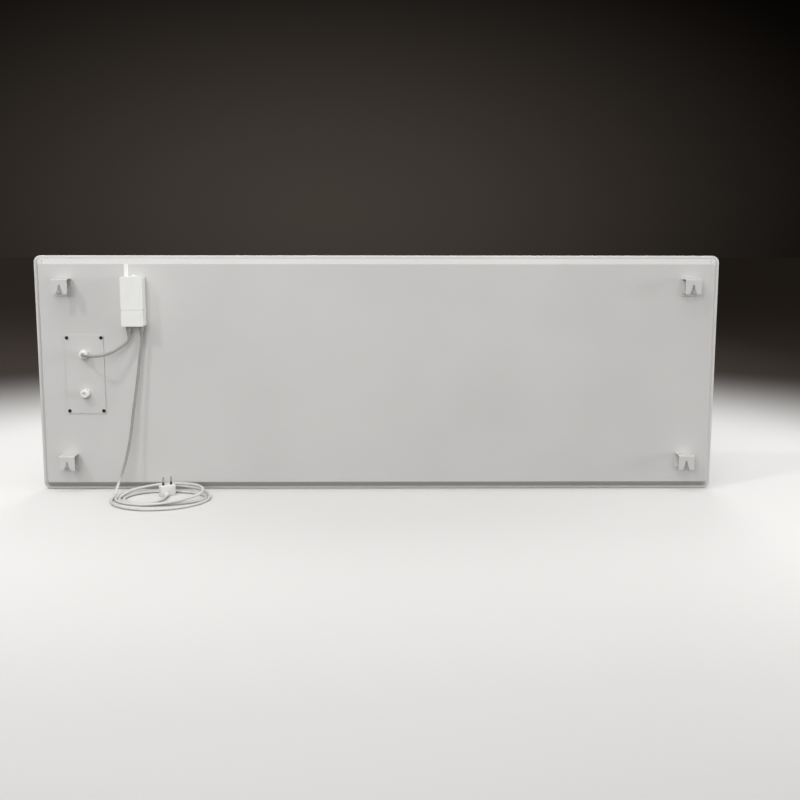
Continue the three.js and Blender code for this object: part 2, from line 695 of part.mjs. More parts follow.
function onBoard({ width, height, depth, fromMiddle, up }) {
  const front = pcbFront - SEAT;
  return roundedBlockY({
    x: box.x + fromMiddle, z: pcbBottom + up, width, height,
    y0: front, y1: front - depth, corner: 1, edge: 0.6, foot: 0.2,
  });
}

function terminalStrip() {
  const back = box.back - RECEIVER.wall - SEAT;
  const front = back - STRIP.depth;
  const z = box.seamZ - STRIP.belowSeam - STRIP.height / 2;
  let strip = block(
    [box.x - STRIP.width / 2, box.x + STRIP.width / 2], [front, back],
    [z - STRIP.height / 2, z + STRIP.height / 2],
  );
  for (let way = 0; way < STRIP.ways; way += 1) {
    const x = box.x + (way - (STRIP.ways - 1) / 2) * STRIP.width / STRIP.ways;
    const sunk = [front - 1, front + STRIP.screwDepth];
    strip = strip.subtract(rodY(STRIP.screwHole, sunk, x, z, SMALL_HOLE_SIDES));
  }
  return strip;
}

// ---------------------------------------------------------------- rocker switch on the box

const pivot = { x: SWITCH.x, y: SWITCH.y, z: RECEIVER.top - ROCKER.pivotBelowTop };

function switchBody() {
  const { x, y, length, width, wall, depth, bezel } = SWITCH;
  const top = RECEIVER.top + SEAT;
  const halfX = length / 2;
  const halfY = width / 2;
  const outside = block(
    [x - halfX + bezel, x + halfX - bezel], [y - halfY + bezel, y + halfY - bezel],
    [top - depth, top + bezel],
  ).add(block([x - halfX, x + halfX], [y - halfY, y + halfY], [top, top + bezel]));
  const well = block(
    [x - halfX + bezel + wall, x + halfX - bezel - wall],
    [y - ROCKER.width / 2 - SEAT, y + ROCKER.width / 2 + SEAT],
    [top - depth + wall, top + bezel + 1],
  );
  const pinHalf = ROCKER.width / 2 + ROCKER.pinReach + SEAT;
  const pinHole = rodY(ROCKER.pin + 2 * SEAT, [y - pinHalf, y + pinHalf], pivot.x, pivot.z, 16);
  return outside.subtract(well).subtract(pinHole);
}

// The rocker at rest: its two faces meet in a shallow V and its left end stands up.
function switchRocker() {
  const half = ROCKER.length / 2;
  const halfFoot = ROCKER.footLength / 2;
  const tilt = THREE.MathUtils.degToRad(ROCKER.tilt);
  const rise = ROCKER.crown + ROCKER.pivotBelowTop;
  const outline = new THREE.Shape();
  outline.moveTo(-half, rise);
  outline.lineTo(0, rise - half * Math.tan(tilt));
  outline.lineTo(half, rise);
  outline.lineTo(halfFoot, -ROCKER.footDrop);
  outline.lineTo(-halfFoot, -ROCKER.footDrop);
  const geometry = new THREE.ExtrudeGeometry(outline, { depth: ROCKER.width, bevelEnabled: false });
  geometry.rotateX(Math.PI / 2).translate(0, ROCKER.width / 2, 0);
  const pinHalf = ROCKER.width / 2 + ROCKER.pinReach;
  const pin = rodY(ROCKER.pin, [-pinHalf, pinHalf], 0, 0, 16);
  return toGeometry(toSolid(geometry).add(pin)).rotateY(tilt);
}

// ---------------------------------------------------------------- strain reliefs, cords and plug

// A flange inside the box, a neck through its bottom wall, a root block and a tapering sleeve.
function strainRelief(x) {
  const { wall, bottom } = RECEIVER;
  const { flange, flangeHeight, neck, length, root, rootLength, shoulder, tip } = RELIEF;
  const inside = bottom + wall + SEAT;
  const underside = bottom - SEAT;
  const rootEnd = underside - rootLength;
  const profile = [
    [0, inside + flangeHeight], [flange / 2, inside + flangeHeight], [flange / 2, inside],
    [neck / 2, inside], [neck / 2, underside], [root / 2, underside], [root / 2, rootEnd],
    [root / 2 - shoulder, rootEnd - shoulder], [tip / 2, underside - length], [0, underside - length],
  ];
  return turned(profile, 20).rotateX(Math.PI / 2).translate(x, RELIEF.y, 0);
}

const reliefTip = RECEIVER.bottom - SEAT - RELIEF.length;
const glandHeight = glandPlaces[0].z;

// The link cable's points, with their heights shared out between its gland and its strain relief.
const linkRoute = LINK_ROUTE.map(([x, y, z]) => {
  const share = (z - DRAWN.gland) / (DRAWN.tip - DRAWN.gland);
  return [END + x, y, glandHeight + share * (reliefTip - glandHeight)];
});

// The mains cord's points from its strain relief to the floor, lengthened mostly near the relief.
const dropRoute = DROP_ROUTE.map(([x, y, z]) => (
  [END + x, y, z + (reliefTip - DRAWN.tip) * (z / DRAWN.tip) ** 2]));

function coilReach(turn, angle) {
  const { turns, end } = COIL;
  const { left, front, right, back, climbFrom, height } = turns[turn];
  const nextLeft = turn + 1 < turns.length ? turns[turn + 1].left : end.left;
  const reachX = angle < 90 ? left : angle < 270 ? right : nextLeft;
  const reachY = angle < 180 ? front : back;
  const climb = THREE.MathUtils.clamp((angle - climbFrom) / (COIL.landing - climbFrom), 0, 1);
  return { reachX, reachY, lift: height * Math.sin(Math.PI * climb) ** 1.5 };
}

// Centre points of the coil: three loose turns laid inside each other, then the run to the plug.
function coilCentreLine() {
  const { midX, midY, turns, stepsPerTurn, end } = COIL;
  const floor = CORD.diameter / 2;
  const points = [new THREE.Vector3(turns[0].left, midY + CORD.diameter, floor)];
  turns.forEach((_, turn) => {
    for (let step = 0; step < stepsPerTurn; step += 1) {
      const angle = 360 * step / stepsPerTurn;
      const { reachX, reachY, lift } = coilReach(turn, angle);
      const radians = THREE.MathUtils.degToRad(angle);
      points.push(new THREE.Vector3(
        midX + Math.abs(Math.cos(radians)) * (reachX - midX),
        midY + Math.abs(Math.sin(radians)) * (reachY - midY),
        floor + lift,
      ));
    }
  });
  const quarter = stepsPerTurn / 4;
  for (let step = 0; step <= 2 * quarter; step += 1) {
    const angle = Math.PI / 2 * step / quarter;
    const reachX = step < quarter ? end.left : PLUG.cordX;
    const startY = step === 0 ? midY : end.midY;
    const lift = Math.max(0, step / quarter - 1) * (PLUG.cordHeight - floor);
    points.push(new THREE.Vector3(
      end.midX + Math.abs(Math.cos(angle)) * (reachX - end.midX),
      startY + Math.abs(Math.sin(angle)) * (end.front - startY),
      floor + lift,
    ));
  }
  points.push(new THREE.Vector3(PLUG.cordX, plugReliefTip() - SEAT, PLUG.cordHeight));
  return points;
}

function leastSelfGap(points, diameter) {
  const curve = new THREE.CatmullRomCurve3(points, false, 'centripetal');
  const samples = curve.getSpacedPoints(points.length * 4);
  const spacing = curve.getLength() / (points.length * 4);
  const apart = Math.ceil(3 * diameter / spacing);
  let least = Infinity;
  for (let i = 0; i < samples.length; i += 1) {
    for (let j = i + apart; j < samples.length; j += 1) {
      least = Math.min(least, samples[i].distanceTo(samples[j]) - diameter);
    }
  }
  return least;
}

// One unbroken tube through the given points, as rings of a fixed number of sides.
function ringTube(points, diameter, sides) {
  const rings = [];
  const side = new THREE.Vector3(0, 0, 1);
  points.forEach((point, i) => {
    const before = points[Math.max(i - 1, 0)];
    const after = points[Math.min(i + 1, points.length - 1)];
    const along = after.clone().sub(before).normalize();
    const up = side.clone().addScaledVector(along, -side.dot(along)).normalize();
    const across = new THREE.Vector3().crossVectors(along, up);
    const ring = [];
    for (let k = 0; k < sides; k += 1) {
      const angle = 2 * Math.PI * k / sides;
      ring.push(point.clone()
        .addScaledVector(across, diameter / 2 * Math.cos(angle))
        .addScaledVector(up, diameter / 2 * Math.sin(angle)));
    }
    rings.push(ring);
  });
  return throughRings(rings);
}

const plugTurn = THREE.MathUtils.degToRad(PLUG.turn);

// Where the plug's front face crosses the cord's line, and how far its strain relief then reaches.
function plugFaceAtCord() {
  const faceX = PLUG.x + Math.sin(plugTurn) * PLUG.depth / 2;
  const faceY = PLUG.y - Math.cos(plugTurn) * PLUG.depth / 2;
  return faceY + Math.tan(plugTurn) * (PLUG.cordX - faceX);
}

function plugReliefTip() {
  return plugFaceAtCord() - PLUG_RELIEF.length;
}

function plugBodySolid(grow) {
  const geometry = roundedBlock({
    width: PLUG.width + 2 * grow, depth: PLUG.depth + 2 * grow, height: PLUG.height,
    corner: PLUG.corner, edge: PLUG.edge, foot: 0.6,
  });
  return toSolid(geometry.rotateZ(plugTurn).translate(PLUG.x, PLUG.y, 0));
}

const pinPlaces = [['left', -1], ['right', 1]].map(([name, sign]) => ({
  name,
  x: PLUG.x + sign * PIN.spacing / 2 * Math.cos(plugTurn),
  y: PLUG.y + sign * PIN.spacing / 2 * Math.sin(plugTurn),
}));

function plugBody() {
  let body = plugBodySolid(0);
  for (const { x, y } of pinPlaces) {
    body = body.subtract(rodZ(
      PIN.sleeve + 2 * SEAT, x, y, [PLUG.height - PIN.inBody, PLUG.height + 1], 16,
    ));
  }
  return body;
}

function plugPin({ x, y }) {
  const foot = PLUG.height - PIN.inBody + SEAT;
  const tip = PLUG.height + PIN.length;
  const radius = PIN.diameter / 2;
  return turned([
    [0, foot], [radius, foot], [radius, tip - 1.4], [radius - 0.8, tip - 0.3], [0, tip],
  ], 16).rotateX(Math.PI / 2).translate(x, y, 0);
}

function pinSleeve({ x, y }) {
  const foot = PLUG.height - PIN.inBody + SEAT;
  const end = PLUG.height + PIN.sleeveLength;
  const bore = PIN.sleeveBore / 2;
  const outer = PIN.sleeve / 2;
  return turned([[bore, foot], [outer, foot], [outer, end], [bore, end], [bore, foot]], 16)
    .rotateX(Math.PI / 2).translate(x, y, 0);
}

function plugRelief() {
  const length = PLUG_RELIEF.length + PLUG_RELIEF.insideBody;
  const tip = plugReliefTip();
  const cone = new THREE.CylinderGeometry(PLUG_RELIEF.root / 2, PLUG_RELIEF.tip / 2, length, 16)
    .translate(PLUG.cordX, tip + length / 2, PLUG.cordHeight);
  const aboveFloor = block(
    [PLUG.cordX - PLUG_RELIEF.root, PLUG.cordX + PLUG_RELIEF.root], [tip - 1, tip + length + 1],
    [PLUG_RELIEF.aboveFloor, PLUG.height],
  );
  return toSolid(cone).subtract(plugBodySolid(SEAT)).intersect(aboveFloor);
}

// ---------------------------------------------------------------- assembly

part('front_panel', frontPanel(), FINISH.whitePaint);
part('heating_element', heatingElement(), FINISH.element);
part('insulation_board', insulationBoard(), FINISH.mineralBoard);
part('back_cover', backCover(), FINISH.whiteSteel);
part('rail_upper', rail(rivetHeight(brackets[0])), FINISH.zinc);
part('rail_lower', rail(rivetHeight(brackets[2])), FINISH.zinc);

const railFace = SHEET + SEAT + SHEET + SEAT;
for (const bracket of brackets) {
  part(`bracket_${bracket.name}`, bracketPiece(bracket), FINISH.whiteSteel);
  for (const { tag, x, z } of rivetPlaces(bracket)) {
    const rivet = domedFastener(RIVET, -SEAT - BRACKET.sheet - SEAT, x, z, railFace);
    part(`rivet_${bracket.name}_${tag}`, rivet, FINISH.whiteSteel);
  }
}

part('service_plate', servicePlate(), FINISH.whiteSteel);
for (const { name, x, z } of screwPlaces) {
  const seat = plateOutside - SEAT;
  const screw = domedFastener(SERVICE_SCREW, seat, x, z, seat + SERVICE_SCREW.length);
  part(`service_screw_${name}`, screw, FINISH.blackSteel);
}
for (const { name, z } of glandPlaces) {
  part(`${name}_body`, glandBody(z), FINISH.whitePlastic);
  part(`${name}_cap`, glandCap(z), FINISH.whitePlastic);
  part(`${name}_nut`, glandNut(z), FINISH.whitePlastic);
}
const blankFront = capFront + BLANK.recess;
part('spare_gland_blank', rodY(
  BLANK.diameter, [blankFront, blankFront + BLANK.length], SERVICE.x, glandPlaces[1].z, 16,
), FINISH.rubber);

part('terminal_block', terminalBlock(), FINISH.whitePlastic);
part('thermal_cutout', thermalCutout(), FINISH.blackPlastic);
part('earth_stud', earthStud(), FINISH.brass);
part('line_lead', elementLead(1), FINISH.redLead);
part('neutral_lead', elementLead(0), FINISH.blueLead);
part('earth_lead', earthLead(), FINISH.earthLead);

part('receiver_strap', hangerStrap(), FINISH.whitePaint);
part('receiver_pad', mountingPad(), FINISH.foam);
part('receiver_back_shell', receiverBackShell(), FINISH.whitePlastic);
const upperLid = receiverLid(box.seamZ + RECEIVER.groove / 2, RECEIVER.top);
const lowerLid = receiverLid(RECEIVER.bottom, box.seamZ - RECEIVER.groove / 2);
part('receiver_front_cover', upperLid, FINISH.whitePlastic);
part('receiver_terminal_cover', lowerLid, FINISH.whitePlastic);
part('receiver_board', circuitBoard(), FINISH.circuitBoard);
part('receiver_relay', onBoard(RELAY), FINISH.blackPlastic);
part('receiver_transformer', onBoard(TRANSFORMER), FINISH.blackPlastic);
part('receiver_terminals', terminalStrip(), FINISH.whitePlastic);
part('switch_body', switchBody(), FINISH.whitePlastic);
part('switch_rocker', switchRocker(), FINISH.whitePlastic).position.set(pivot.x, pivot.y, pivot.z);

part('link_relief', strainRelief(RELIEF.linkX), FINISH.cordJacket);
part('mains_relief', strainRelief(RELIEF.mainsX), FINISH.cordJacket);
part('link_cable', tube(linkRoute, CORD.diameter, CORD.sides, CORD.stepLength), FINISH.cordJacket);
part('mains_cord', tube(dropRoute, CORD.diameter, CORD.sides, CORD.stepLength), FINISH.cordJacket);

const coilLine = coilCentreLine();
console.log(`mains coil: least gap to itself ${leastSelfGap(coilLine, CORD.diameter).toFixed(2)} mm`);
part('mains_cord_coil', ringTube(coilLine, CORD.diameter, COIL.sides), FINISH.cordJacket);

part('plug_body', plugBody(), FINISH.whitePlastic);
part('plug_relief', plugRelief(), FINISH.whitePlastic);
for (const place of pinPlaces) {
  part(`plug_pin_${place.name}`, plugPin(place), FINISH.nickel);
  part(`plug_sleeve_${place.name}`, pinSleeve(place), FINISH.blackPlastic);
}

const notchApex = BRACKET.upperTop - NOTCH.apexBelowTop;
panel.position.set(0, BRACKET.depth, -notchApex);

const heater = new THREE.Group();
heater.add(panel);

export default heater;
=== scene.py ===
import json
import math

import bmesh
import bpy
from mathutils import Matrix, Vector


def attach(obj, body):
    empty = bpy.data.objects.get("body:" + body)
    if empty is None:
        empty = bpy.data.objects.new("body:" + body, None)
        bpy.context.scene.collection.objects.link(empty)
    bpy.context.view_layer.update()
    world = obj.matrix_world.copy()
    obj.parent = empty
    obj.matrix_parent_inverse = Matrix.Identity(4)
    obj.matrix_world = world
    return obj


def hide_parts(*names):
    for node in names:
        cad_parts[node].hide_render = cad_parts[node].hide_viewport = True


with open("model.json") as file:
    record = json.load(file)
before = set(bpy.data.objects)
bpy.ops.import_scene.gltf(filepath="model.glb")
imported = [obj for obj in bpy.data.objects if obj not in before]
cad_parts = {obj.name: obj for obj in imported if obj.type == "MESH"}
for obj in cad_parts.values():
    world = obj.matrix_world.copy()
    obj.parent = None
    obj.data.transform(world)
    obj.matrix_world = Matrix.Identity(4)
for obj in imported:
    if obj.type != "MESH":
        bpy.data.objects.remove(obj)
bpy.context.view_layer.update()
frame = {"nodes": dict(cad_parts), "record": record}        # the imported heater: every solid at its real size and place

# A wall-hung infrared panel heater, seen from its back, with its receiver box, mains cord and plug.
# Lengths in the tables are millimetres in the panel's own frame, as in the part's source: X across
# the panel, Z up from its bottom edge, Y from the wall to the room, Y = 0 on the back plate.

MM = 0.001
PANEL_ORIGIN = Vector((0, 37, -489.1))
FLOOR_Z = -489.1 * MM
scene = bpy.context.scene


def place(x, y, z):
    """A point of the panel's frame, in metres in the row frame."""
    return (Vector((x, y, z)) + PANEL_ORIGIN) * MM


def srgb(code):
    """A hex colour as linear red, green, blue and a full alpha."""
    parts = [int(code[i:i + 2], 16) / 255 for i in (1, 3, 5)]
    return [p / 12.92 if p <= 0.04045 else ((p + 0.055) / 1.055) ** 2.4 for p in parts] + [1.0]


# ------------------------------------------------------------------ camera

CAMERA = {
    "place": (0.0250, -2.4112, 0.0858), "lens": 47.08, "down": 8.321, "turn": -0.646, "roll": 0.057,
}


def make_camera():
    data = bpy.data.cameras.new("camera")
    data.lens = CAMERA["lens"]
    data.sensor_width = 36.0
    data.clip_start, data.clip_end = 0.05, 100.0
    camera = bpy.data.objects.new("camera", data)
    scene.collection.objects.link(camera)
    aim = Matrix.Rotation(math.radians(CAMERA["turn"]), 4, "Z")
    aim = aim @ Matrix.Rotation(math.radians(90 - CAMERA["down"]), 4, "X")
    aim = aim @ Matrix.Rotation(math.radians(CAMERA["roll"]), 4, "Z")
    camera.matrix_world = Matrix.Translation(CAMERA["place"]) @ aim
    scene.camera = camera


make_camera()

# ------------------------------------------------------------------ nodes of a material or a tree


def add(tree, kind, inputs=(), **settings):
    """Adds a node, gives it its settings, and sets or links its inputs by name or by number."""
    made = tree.nodes.new(kind)
    for key, value in settings.items():
        setattr(made, key, value)
    for key, value in dict(inputs).items():
        if isinstance(value, bpy.types.NodeSocket):
            tree.links.new(value, made.inputs[key])
        else:
            made.inputs[key].default_value = value
    return made


def material(name, colour, roughness, ior=1.5, metallic=0.0):
    made = bpy.data.materials.new(name)
    made.use_nodes = True
    made.node_tree.nodes.clear()
    shader = add(made.node_tree, "ShaderNodeBsdfPrincipled", {
        "Base Color": srgb(colour), "Roughness": roughness, "IOR": ior, "Metallic": metallic,
    })
    add(made.node_tree, "ShaderNodeOutputMaterial", {"Surface": shader.outputs["BSDF"]})
    return made


def noise(made, size_mm, detail=2.0, stretch=(1, 1, 1)):
    """Noise whose cells are size_mm across, on the piece's own coordinates."""
    tree = made.node_tree
    coords = add(tree, "ShaderNodeTexCoord")
    mapping = add(tree, "ShaderNodeMapping", {"Vector": coords.outputs["Object"], "Scale": stretch})
    return add(tree, "ShaderNodeTexNoise", {
        "Vector": mapping.outputs["Vector"], "Scale": 1000 / size_mm, "Detail": detail, "Roughness": 0.5,
    }).outputs["Fac"]


def shader_of(made):
    return next(n for n in made.node_tree.nodes if n.type == "BSDF_PRINCIPLED")


def mottle(made, low, high, size_mm):
    """Drifts the colour softly between two close ones."""
    tree = made.node_tree
    ramp = add(tree, "ShaderNodeMapRange", {
        "Value": noise(made, size_mm), "From Min": 0.35, "From Max": 0.65,
    })
    mix = add(tree, "ShaderNodeMix", {
        "Factor": ramp.outputs["Result"], 6: srgb(low), 7: srgb(high),
    }, data_type="RGBA")
    tree.links.new(mix.outputs[2], shader_of(made).inputs["Base Color"])


def sheen_drift(made, low, high, size_mm):
    """Drifts the roughness between two values."""
    tree = made.node_tree
    ramp = add(tree, "ShaderNodeMapRange", {
        "Value": noise(made, size_mm), "From Min": 0.3, "From Max": 0.7, "To Min": low, "To Max": high,
    })
    tree.links.new(ramp.outputs["Result"], shader_of(made).inputs["Roughness"])


def relief(made, size_mm, height_mm, stretch=(1, 1, 1)):
    """Raises a fine surface texture."""
    tree = made.node_tree
    bump = add(tree, "ShaderNodeBump", {
        "Height": noise(made, size_mm, 3.0, stretch), "Distance": height_mm * MM, "Strength": 1.0,
    })
    tree.links.new(bump.outputs["Normal"], shader_of(made).inputs["Normal"])


# Polyester powder coat on steel, baked: a satin skin with the faint dimpling of orange peel.
coat_white = material("powder_coated_steel_white", "#DEDDDB", 0.38, 1.5)
mottle(coat_white, "#DCDBD9", "#E0DFDD", 180)
sheen_drift(coat_white, 0.34, 0.42, 60)
relief(coat_white, 3.0, 0.02)

# The hanging strap's coat, a brighter and smoother white.
strap_white = material("powder_coated_strap_white", "#F6F6F4", 0.34, 1.5)
mottle(strap_white, "#F4F4F2", "#F9F9F7", 20)
relief(strap_white, 2.0, 0.01)

# The same coat in light grey on the pressed back plate, a little flatter.
coat_grey = material("powder_coated_steel_light_grey", "#D3D2D0", 0.46, 1.5)
mottle(coat_grey, "#D1D0CE", "#D5D4D2", 220)
sheen_drift(coat_grey, 0.42, 0.5, 70)
relief(coat_grey, 3.0, 0.02)

# Injection-moulded ABS from a spark-eroded mould: even, matte-satin, with a very fine grain.
abs_white = material("moulded_abs_white", "#F2F2F0", 0.36, 1.54)
mottle(abs_white, "#F1F1EF", "#F4F4F2", 45)
sheen_drift(abs_white, 0.33, 0.4, 12)
relief(abs_white, 0.9, 0.012)

# The rocker's ABS is painted whiter than the box as a painted highlight of the light on its upward
# faces, and is moulded glossy.
rocker_painted_highlight_white = material("moulded_abs_painted_highlight_white", "#FBFBF9", 0.26, 1.54)
mottle(rocker_painted_highlight_white, "#F9F9F7", "#FCFCFB", 9)
relief(rocker_painted_highlight_white, 0.9, 0.008)

# Polyamide of the cable glands: slightly waxy and translucent-looking, so a little glossier.
nylon_white = material("moulded_polyamide_white", "#F0F0ED", 0.32, 1.53)
mottle(nylon_white, "#EEEEEB", "#F2F2F0", 14)
relief(nylon_white, 0.7, 0.01)

# Extruded soft PVC sheath: fine lines and a soft wave along its length from the twisted cores. Its
# colour
# holds painted shade: darker where it hangs on the plate, lighter where it lies coiled near the floor.
pvc_white = material("extruded_pvc_sheath_grey_white", "#C8C7C4", 0.44, 1.53)


# Painted shade by height above the floor, with a random drift in tone on top.
def sheath_tone_and_painted_shade(made):
    tree = made.node_tree
    coords = add(tree, "ShaderNodeTexCoord")
    height = add(tree, "ShaderNodeSeparateXYZ", {"Vector": coords.outputs["Object"]})
    # painted shade: the sheath goes darker as it rises above the floor
    rise = add(tree, "ShaderNodeMapRange", {
        "Value": height.outputs["Z"], "From Min": FLOOR_Z + 0.015, "From Max": FLOOR_Z + 0.06,
    }, interpolation_type="SMOOTHSTEP")
    drift = add(tree, "ShaderNodeMapRange", {
        "Value": noise(made, 9), "From Min": 0.3, "From Max": 0.7, "To Min": -0.12, "To Max": 0.12,
    })
    share = add(tree, "ShaderNodeMath", {
        0: rise.outputs["Result"], 1: drift.outputs["Result"],
    }, operation="ADD", use_clamp=True)
    mix = add(tree, "ShaderNodeMix", {
        "Factor": share.outputs["Value"], 6: srgb("#DBDAD7"), 7: srgb("#9D9C99"),
    }, data_type="RGBA")
    tree.links.new(mix.outputs[2], shader_of(made).inputs["Base Color"])


sheath_tone_and_painted_shade(pvc_white)
relief(pvc_white, 2.2, 0.03)

# The same PVC moulded over the plug and the strain reliefs.
pvc_moulded = material("moulded_pvc_white", "#ECEBE9", 0.4, 1.53)
mottle(pvc_moulded, "#EAE9E7", "#EFEEEC", 11)
relief(pvc_moulded, 0.8, 0.015)

# Black-oxidised steel screws: dark, oily, with a metallic edge.
oxide_black = material("black_oxide_steel", "#2A2A2B", 0.38, 1.5, 0.85)
mottle(oxide_black, "#242425", "#323233", 2)
relief(oxide_black, 0.5, 0.006)

# Zinc plating over steel: bright grey with a faint spangle.
zinc = material("zinc_plated_steel", "#B9BBBD", 0.34, 1.5, 1.0)
mottle(zinc, "#AEB0B3", "#C4C6C7", 3)
sheen_drift(zinc, 0.28, 0.42, 2)

# Nickel-plated brass pins, drawn and rolled, so polished along their length.
nickel = material("nickel_plated_brass", "#BDBBB6", 0.2, 1.5, 1.0)
mottle(nickel, "#B6B4AF", "#C5C3BE", 2)

# Black polyamide sleeves on the pins' roots, and the black parts on the circuit board.
nylon_black = material("moulded_polyamide_black", "#1B1B1B", 0.42, 1.53)
mottle(nylon_black, "#181818", "#202020", 3)
relief(nylon_black, 0.4, 0.01)

# The strain reliefs' PVC, painted grey as painted shade under the box, like the cord's painted shade
# where it leaves the box.
pvc_painted_shade_grey = material("moulded_pvc_painted_shade_grey", "#A3A29F", 0.46, 1.53)
mottle(pvc_painted_shade_grey, "#9D9C99", "#AAA9A6", 9)
relief(pvc_painted_shade_grey, 0.8, 0.015)

# What is closed inside: brass stud, foam tape, element film, mineral wool, glass-fibre board, leads.
brass = material("turned_brass", "#B9964E", 0.3, 1.5, 1.0)
mottle(brass, "#AF8C46", "#C3A057", 2)
foam = material("closed_cell_foam_grey", "#5B5B5A", 0.92)
mottle(foam, "#535352", "#646463", 1.5)
relief(foam, 0.9, 0.15)
film = material("carbon_element_film", "#2B2A29", 0.6)
mottle(film, "#262524", "#31302F", 25)
wool = material("pressed_mineral_wool", "#D8CFB8", 0.95)
mottle(wool, "#CDC3AA", "#E1D9C5", 6)
relief(wool, 2.0, 0.4, (1, 6, 1))
laminate = material("glass_fibre_laminate_green", "#2F6B3F", 0.42, 1.55)
mottle(laminate, "#2B653A", "#347246", 1.2)
rubber = material("moulded_rubber_pale", "#E2E2DF", 0.6, 1.52)
mottle(rubber, "#DCDCD9", "#E8E8E5", 4)
lead_brown = material("pvc_lead_brown", "#7A4A2C", 0.45, 1.53)
mottle(lead_brown, "#724427", "#835132", 5)
lead_blue = material("pvc_lead_blue", "#2C5D9C", 0.45, 1.53)
mottle(lead_blue, "#285692", "#3265A6", 5)
lead_green = material("pvc_lead_green_yellow", "#8BAB2F", 0.45, 1.53)
mottle(lead_green, "#3F8F3A", "#C9C42F", 4)

SLOT_FINISH = {
    "white_paint": coat_white, "white_steel": coat_grey, "white_plastic": abs_white,
    "cord_jacket": pvc_white, "black_plastic": nylon_black, "black_steel": oxide_black, "zinc": zinc,
    "nickel": nickel, "brass": brass, "foam": foam, "element": film, "mineral_board": wool,
    "circuit_board": laminate, "rubber": rubber, "line_lead": lead_brown, "neutral_lead": lead_blue,
    "earth_lead": lead_green,
}
NODE_SLOT = {row["node"]: row["material_slot"] for row in frame["record"]["subparts"]}
BODY_OF = {n: body for body, members in frame["record"]["behaviour"]["bodies"].items() for n in members}

for node_name, cad_object in frame["nodes"].items():
    cad_object.data.materials.clear()
    cad_object.data.materials.append(SLOT_FINISH[NODE_SLOT[node_name]])

# ------------------------------------------------------------------ cords

CORD = 6.6
LINK_ROUTE = [
    (-577, -16, 370.9), (-577.5, -16.1, 365.6), (-579.3, -16.6, 360.1), (-582.3, -17.6, 355.2),
    (-586.6, -19.2, 351.1), (-593, -21.6, 346.3), (-600.8, -24.8, 341), (-610, -28.8, 335.6),
    (-620, -33.2, 331), (-631, -38, 327.7), (-641.6, -42.4, 326), (-650.2, -45.6, 325.7),
    (-659, -47, 325.8), (-667.6, -45.8, 326), (-675.4, -41.4, 326.2), (-681.6, -34.4, 326.2),
    (-685.1, -26.6, 326), (-686, -19.2, 326),
]
DROP_ROUTE = [
    (-547.3, -16, 370.9), (-547.3, -16, 365), (-548.6, -16.2, 352), (-552, -17, 333.5),
    (-555.6, -18, 302.5), (-560.4, -20, 265), (-566.1, -22, 227.1), (-571, -24.2, 194.3),
    (-578.6, -29, 136.3), (-588, -37, 86), (-594.4, -43.4, 60), (-600.2, -50.6, 41),
    (-604.8, -59, 25.6), (-607.2, -67.4, 13.6), (-608, -75.4, 6.2), (-608, -82, 3.5),
]
COIL = {"mid_x": -503, "mid_y": -95, "steps": 24, "landing": 378}
COIL_TURNS = [
    {"left": -608, "front": -203, "right": -387, "back": -9, "climb_from": 165, "height": 10},
    {"left": -600.2, "front": -163, "right": -401.5, "back": -26, "climb_from": 70, "height": 20.5},
    {"left": -592.2, "front": -154.6, "right": -395, "back": -27.5, "climb_from": 180, "height": 0},
]
COIL_END = {"left": -580.5, "front": -144, "mid_x": -516, "mid_y": -101}
PLUG = {"x": -490.5, "y": -57.5, "turn": 34, "depth": 18, "height": 26}
PLUG_CORD = {"x": -488.5, "height": 5.6, "relief": 21}
SEAT = 0.3


def coil_point(turn, degrees):
    """A point of the coil: each turn is four quarter ovals, lifted where it crosses the last one."""
    now = COIL_TURNS[turn]
    next_left = COIL_TURNS[turn + 1]["left"] if turn + 1 < len(COIL_TURNS) else COIL_END["left"]
    reach_x = now["left"] if degrees < 90 else now["right"] if degrees < 270 else next_left
    reach_y = now["front"] if degrees < 180 else now["back"]
    climb = (degrees - now["climb_from"]) / (COIL["landing"] - now["climb_from"])
    lift = now["height"] * abs(math.sin(math.pi * min(max(climb, 0), 1))) ** 1.5
    angle = math.radians(degrees)
    return (
        COIL["mid_x"] + abs(math.cos(angle)) * (reach_x - COIL["mid_x"]),
        COIL["mid_y"] + abs(math.sin(angle)) * (reach_y - COIL["mid_y"]),
        CORD / 2 + lift,
    )


def plug_relief_tip():
    turn = math.radians(PLUG["turn"])
    face_x = PLUG["x"] + math.sin(turn) * PLUG["depth"] / 2
    face_y = PLUG["y"] - math.cos(turn) * PLUG["depth"] / 2
    return face_y + math.tan(turn) * (PLUG_CORD["x"] - face_x) - PLUG_CORD["relief"]


def coil_route():
    steps = COIL["steps"]
    points = [(COIL_TURNS[0]["left"], COIL["mid_y"] + CORD, CORD / 2)]
    for turn in range(len(COIL_TURNS)):
        points += [coil_point(turn, 360 * step / steps) for step in range(steps)]
    quarter = steps // 4
    for step in range(2 * quarter + 1):
        angle = math.pi / 2 * step / quarter
        reach_x = COIL_END["left"] if step < quarter else PLUG_CORD["x"]
        start_y = COIL["mid_y"] if step == 0 else COIL_END["mid_y"]
        lift = max(0, step / quarter - 1) * (PLUG_CORD["height"] - CORD / 2)
        points.append((
            COIL_END["mid_x"] + abs(math.cos(angle)) * (reach_x - COIL_END["mid_x"]),
            start_y + abs(math.sin(angle)) * (COIL_END["front"] - start_y),
            CORD / 2 + lift,
        ))
    points.append((PLUG_CORD["x"], plug_relief_tip() - SEAT, PLUG_CORD["height"]))
    return points


